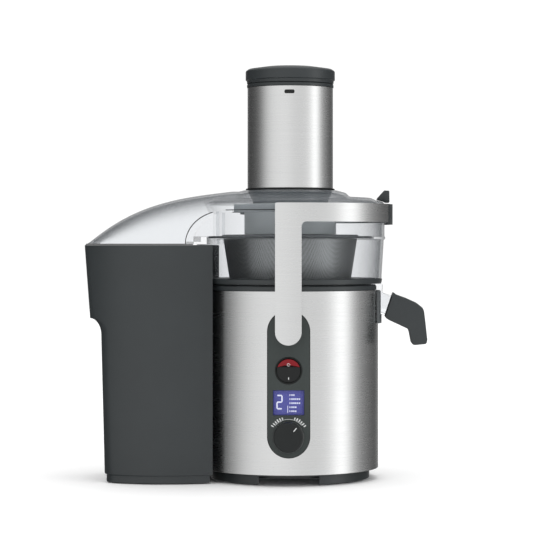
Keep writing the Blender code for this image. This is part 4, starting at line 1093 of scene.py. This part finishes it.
base()
body()
panel()
locking_arm()
container()
bowl()
outlet()
spout()
basket()
coupling()
lid()
chute()
pusher()
for nodes, finish in KEPT.items():
    for node in nodes.split():
        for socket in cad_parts[node].material_slots:
            socket.material = finish

# ---------------- studio


def floor():
    """The white floor, which steel does not mirror."""
    mesh = bpy.data.meshes.new("floor")
    size = 6.0
    corners = [(-size, -size, 0), (size, -size, 0), (size, size, 0), (-size, size, 0)]
    mesh.from_pydata(corners, [], [(0, 1, 2, 3)])
    ground = shown("floor", mesh)
    s = Surface("floor_white")
    s.set(Base_Color=(0.92, 0.92, 0.92), Roughness=0.7)
    mesh.materials.append(s.made)
    ground.visible_glossy = False


# A ramp holds values up to 1, so brightness is divided by this and multiplied back.
BRIGHTEST = 2.0
# (degrees to the right of the camera's side, brightness) of the studio's walls, as steel mirrors them
WALLS = [
    (-180, 0.55), (-163, 0.38), (-150, 0.07), (-135, 0.05), (-108, 0.08), (-92, 0.14), (-80, 0.32),
    (-66, 0.66), (-50, 0.90), (-25, 0.98), (-5, 0.96), (12, 0.84), (36, 0.80), (50, 0.84), (59, 1.10),
    (67, 1.75), (76, 1.70), (84, 0.95), (93, 0.42), (107, 0.24), (127, 0.13), (143, 0.08), (150, 0.10),
    (163, 0.38), (180, 0.55),
]


def studio():
    """A white world whose mirrored walls follow WALLS, and two soft lamps."""
    world = bpy.data.worlds.new("studio")
    bpy.context.scene.world = world
    world.use_nodes = True
    tree = world.node_tree
    tree.nodes.clear()
    node, link = tree.nodes.new, tree.links.new

    def maths(operation, *values):
        made = node("ShaderNodeMath")
        made.operation = operation
        for socket, value in zip(made.inputs, values):
            if isinstance(value, float):
                socket.default_value = value
            else:
                link(value, socket)
        return made.outputs[0]

    where = node("ShaderNodeTexCoord")
    parts = node("ShaderNodeSeparateXYZ")
    link(where.outputs["Generated"], parts.inputs[0])
    turn = maths("ARCTAN2", parts.outputs["X"], maths("MULTIPLY", parts.outputs["Y"], -1.0))
    share = maths("ADD", maths("DIVIDE", turn, math.tau), 0.5)
    ramp = node("ShaderNodeValToRGB")
    elements = ramp.color_ramp.elements
    while len(elements) > 1:
        elements.remove(elements[-1])
    for degrees, level in WALLS:
        spot = (degrees + 180) / 360
        element = elements.new(spot) if spot else elements[0]
        element.position = spot
        element.color = (*[level / BRIGHTEST] * 3, 1.0)
    link(share, ramp.inputs["Fac"])
    walls = maths("MULTIPLY", ramp.outputs["Color"], BRIGHTEST)
    above = node("ShaderNodeMapRange")
    above.interpolation_type = "SMOOTHSTEP"
    above.inputs["From Min"].default_value = 0.30
    above.inputs["From Max"].default_value = 0.85
    link(parts.outputs["Z"], above.inputs["Value"])
    ceiling = maths("MULTIPLY", maths("SUBTRACT", 0.95, walls), above.outputs["Result"])
    mirrored = maths("ADD", walls, ceiling)

    seen, even, gloss = (node("ShaderNodeBackground") for _ in range(3))
    for light in (seen, even, gloss):
        light.inputs["Color"].default_value = (1.0, 1.0, 1.0, 1.0)
    seen.inputs["Strength"].default_value = 1.05
    even.inputs["Strength"].default_value = 0.85
    link(mirrored, gloss.inputs["Strength"])
    paths = node("ShaderNodeLightPath")
    first, second = node("ShaderNodeMixShader"), node("ShaderNodeMixShader")
    link(paths.outputs["Is Glossy Ray"], first.inputs[0])
    link(even.outputs[0], first.inputs[1])
    link(gloss.outputs[0], first.inputs[2])
    link(paths.outputs["Is Camera Ray"], second.inputs[0])
    link(first.outputs[0], second.inputs[1])
    link(seen.outputs[0], second.inputs[2])
    out = node("ShaderNodeOutputWorld")
    link(second.outputs[0], out.inputs["Surface"])

    soft_lamp("overhead", 1.5, 70, (0.0, 0.0, 1.0))
    soft_lamp("key", 0.55, 50, (0.75, -0.60, 0.35))


def soft_lamp(name, strength, spread, toward):
    """A wide soft light from one side, which the steel does not mirror."""
    lamp = bpy.data.lights.new(name, "SUN")
    lamp.energy = strength
    lamp.angle = math.radians(spread)
    obj = shown(name, lamp)
    obj.rotation_euler = Vector(toward).to_track_quat("Z", "Y").to_euler()
    obj.visible_glossy = False


def camera():
    """A long lens straight on from the front."""
    data = bpy.data.cameras.new("camera")
    data.sensor_width = 36.0
    data.lens = 139.5
    data.shift_x = -0.094
    data.shift_y = -0.0586
    obj = shown("camera", data)
    obj.location = AXIS + Vector((0.0415, -2.266, 0.2448))
    obj.rotation_euler = (math.pi / 2, 0.0, 0.0)
    bpy.context.scene.camera = obj


floor()
studio()
camera()
bpy.context.scene.view_settings.view_transform = "Standard"
bpy.context.scene.cycles.transparent_max_bounces = 32
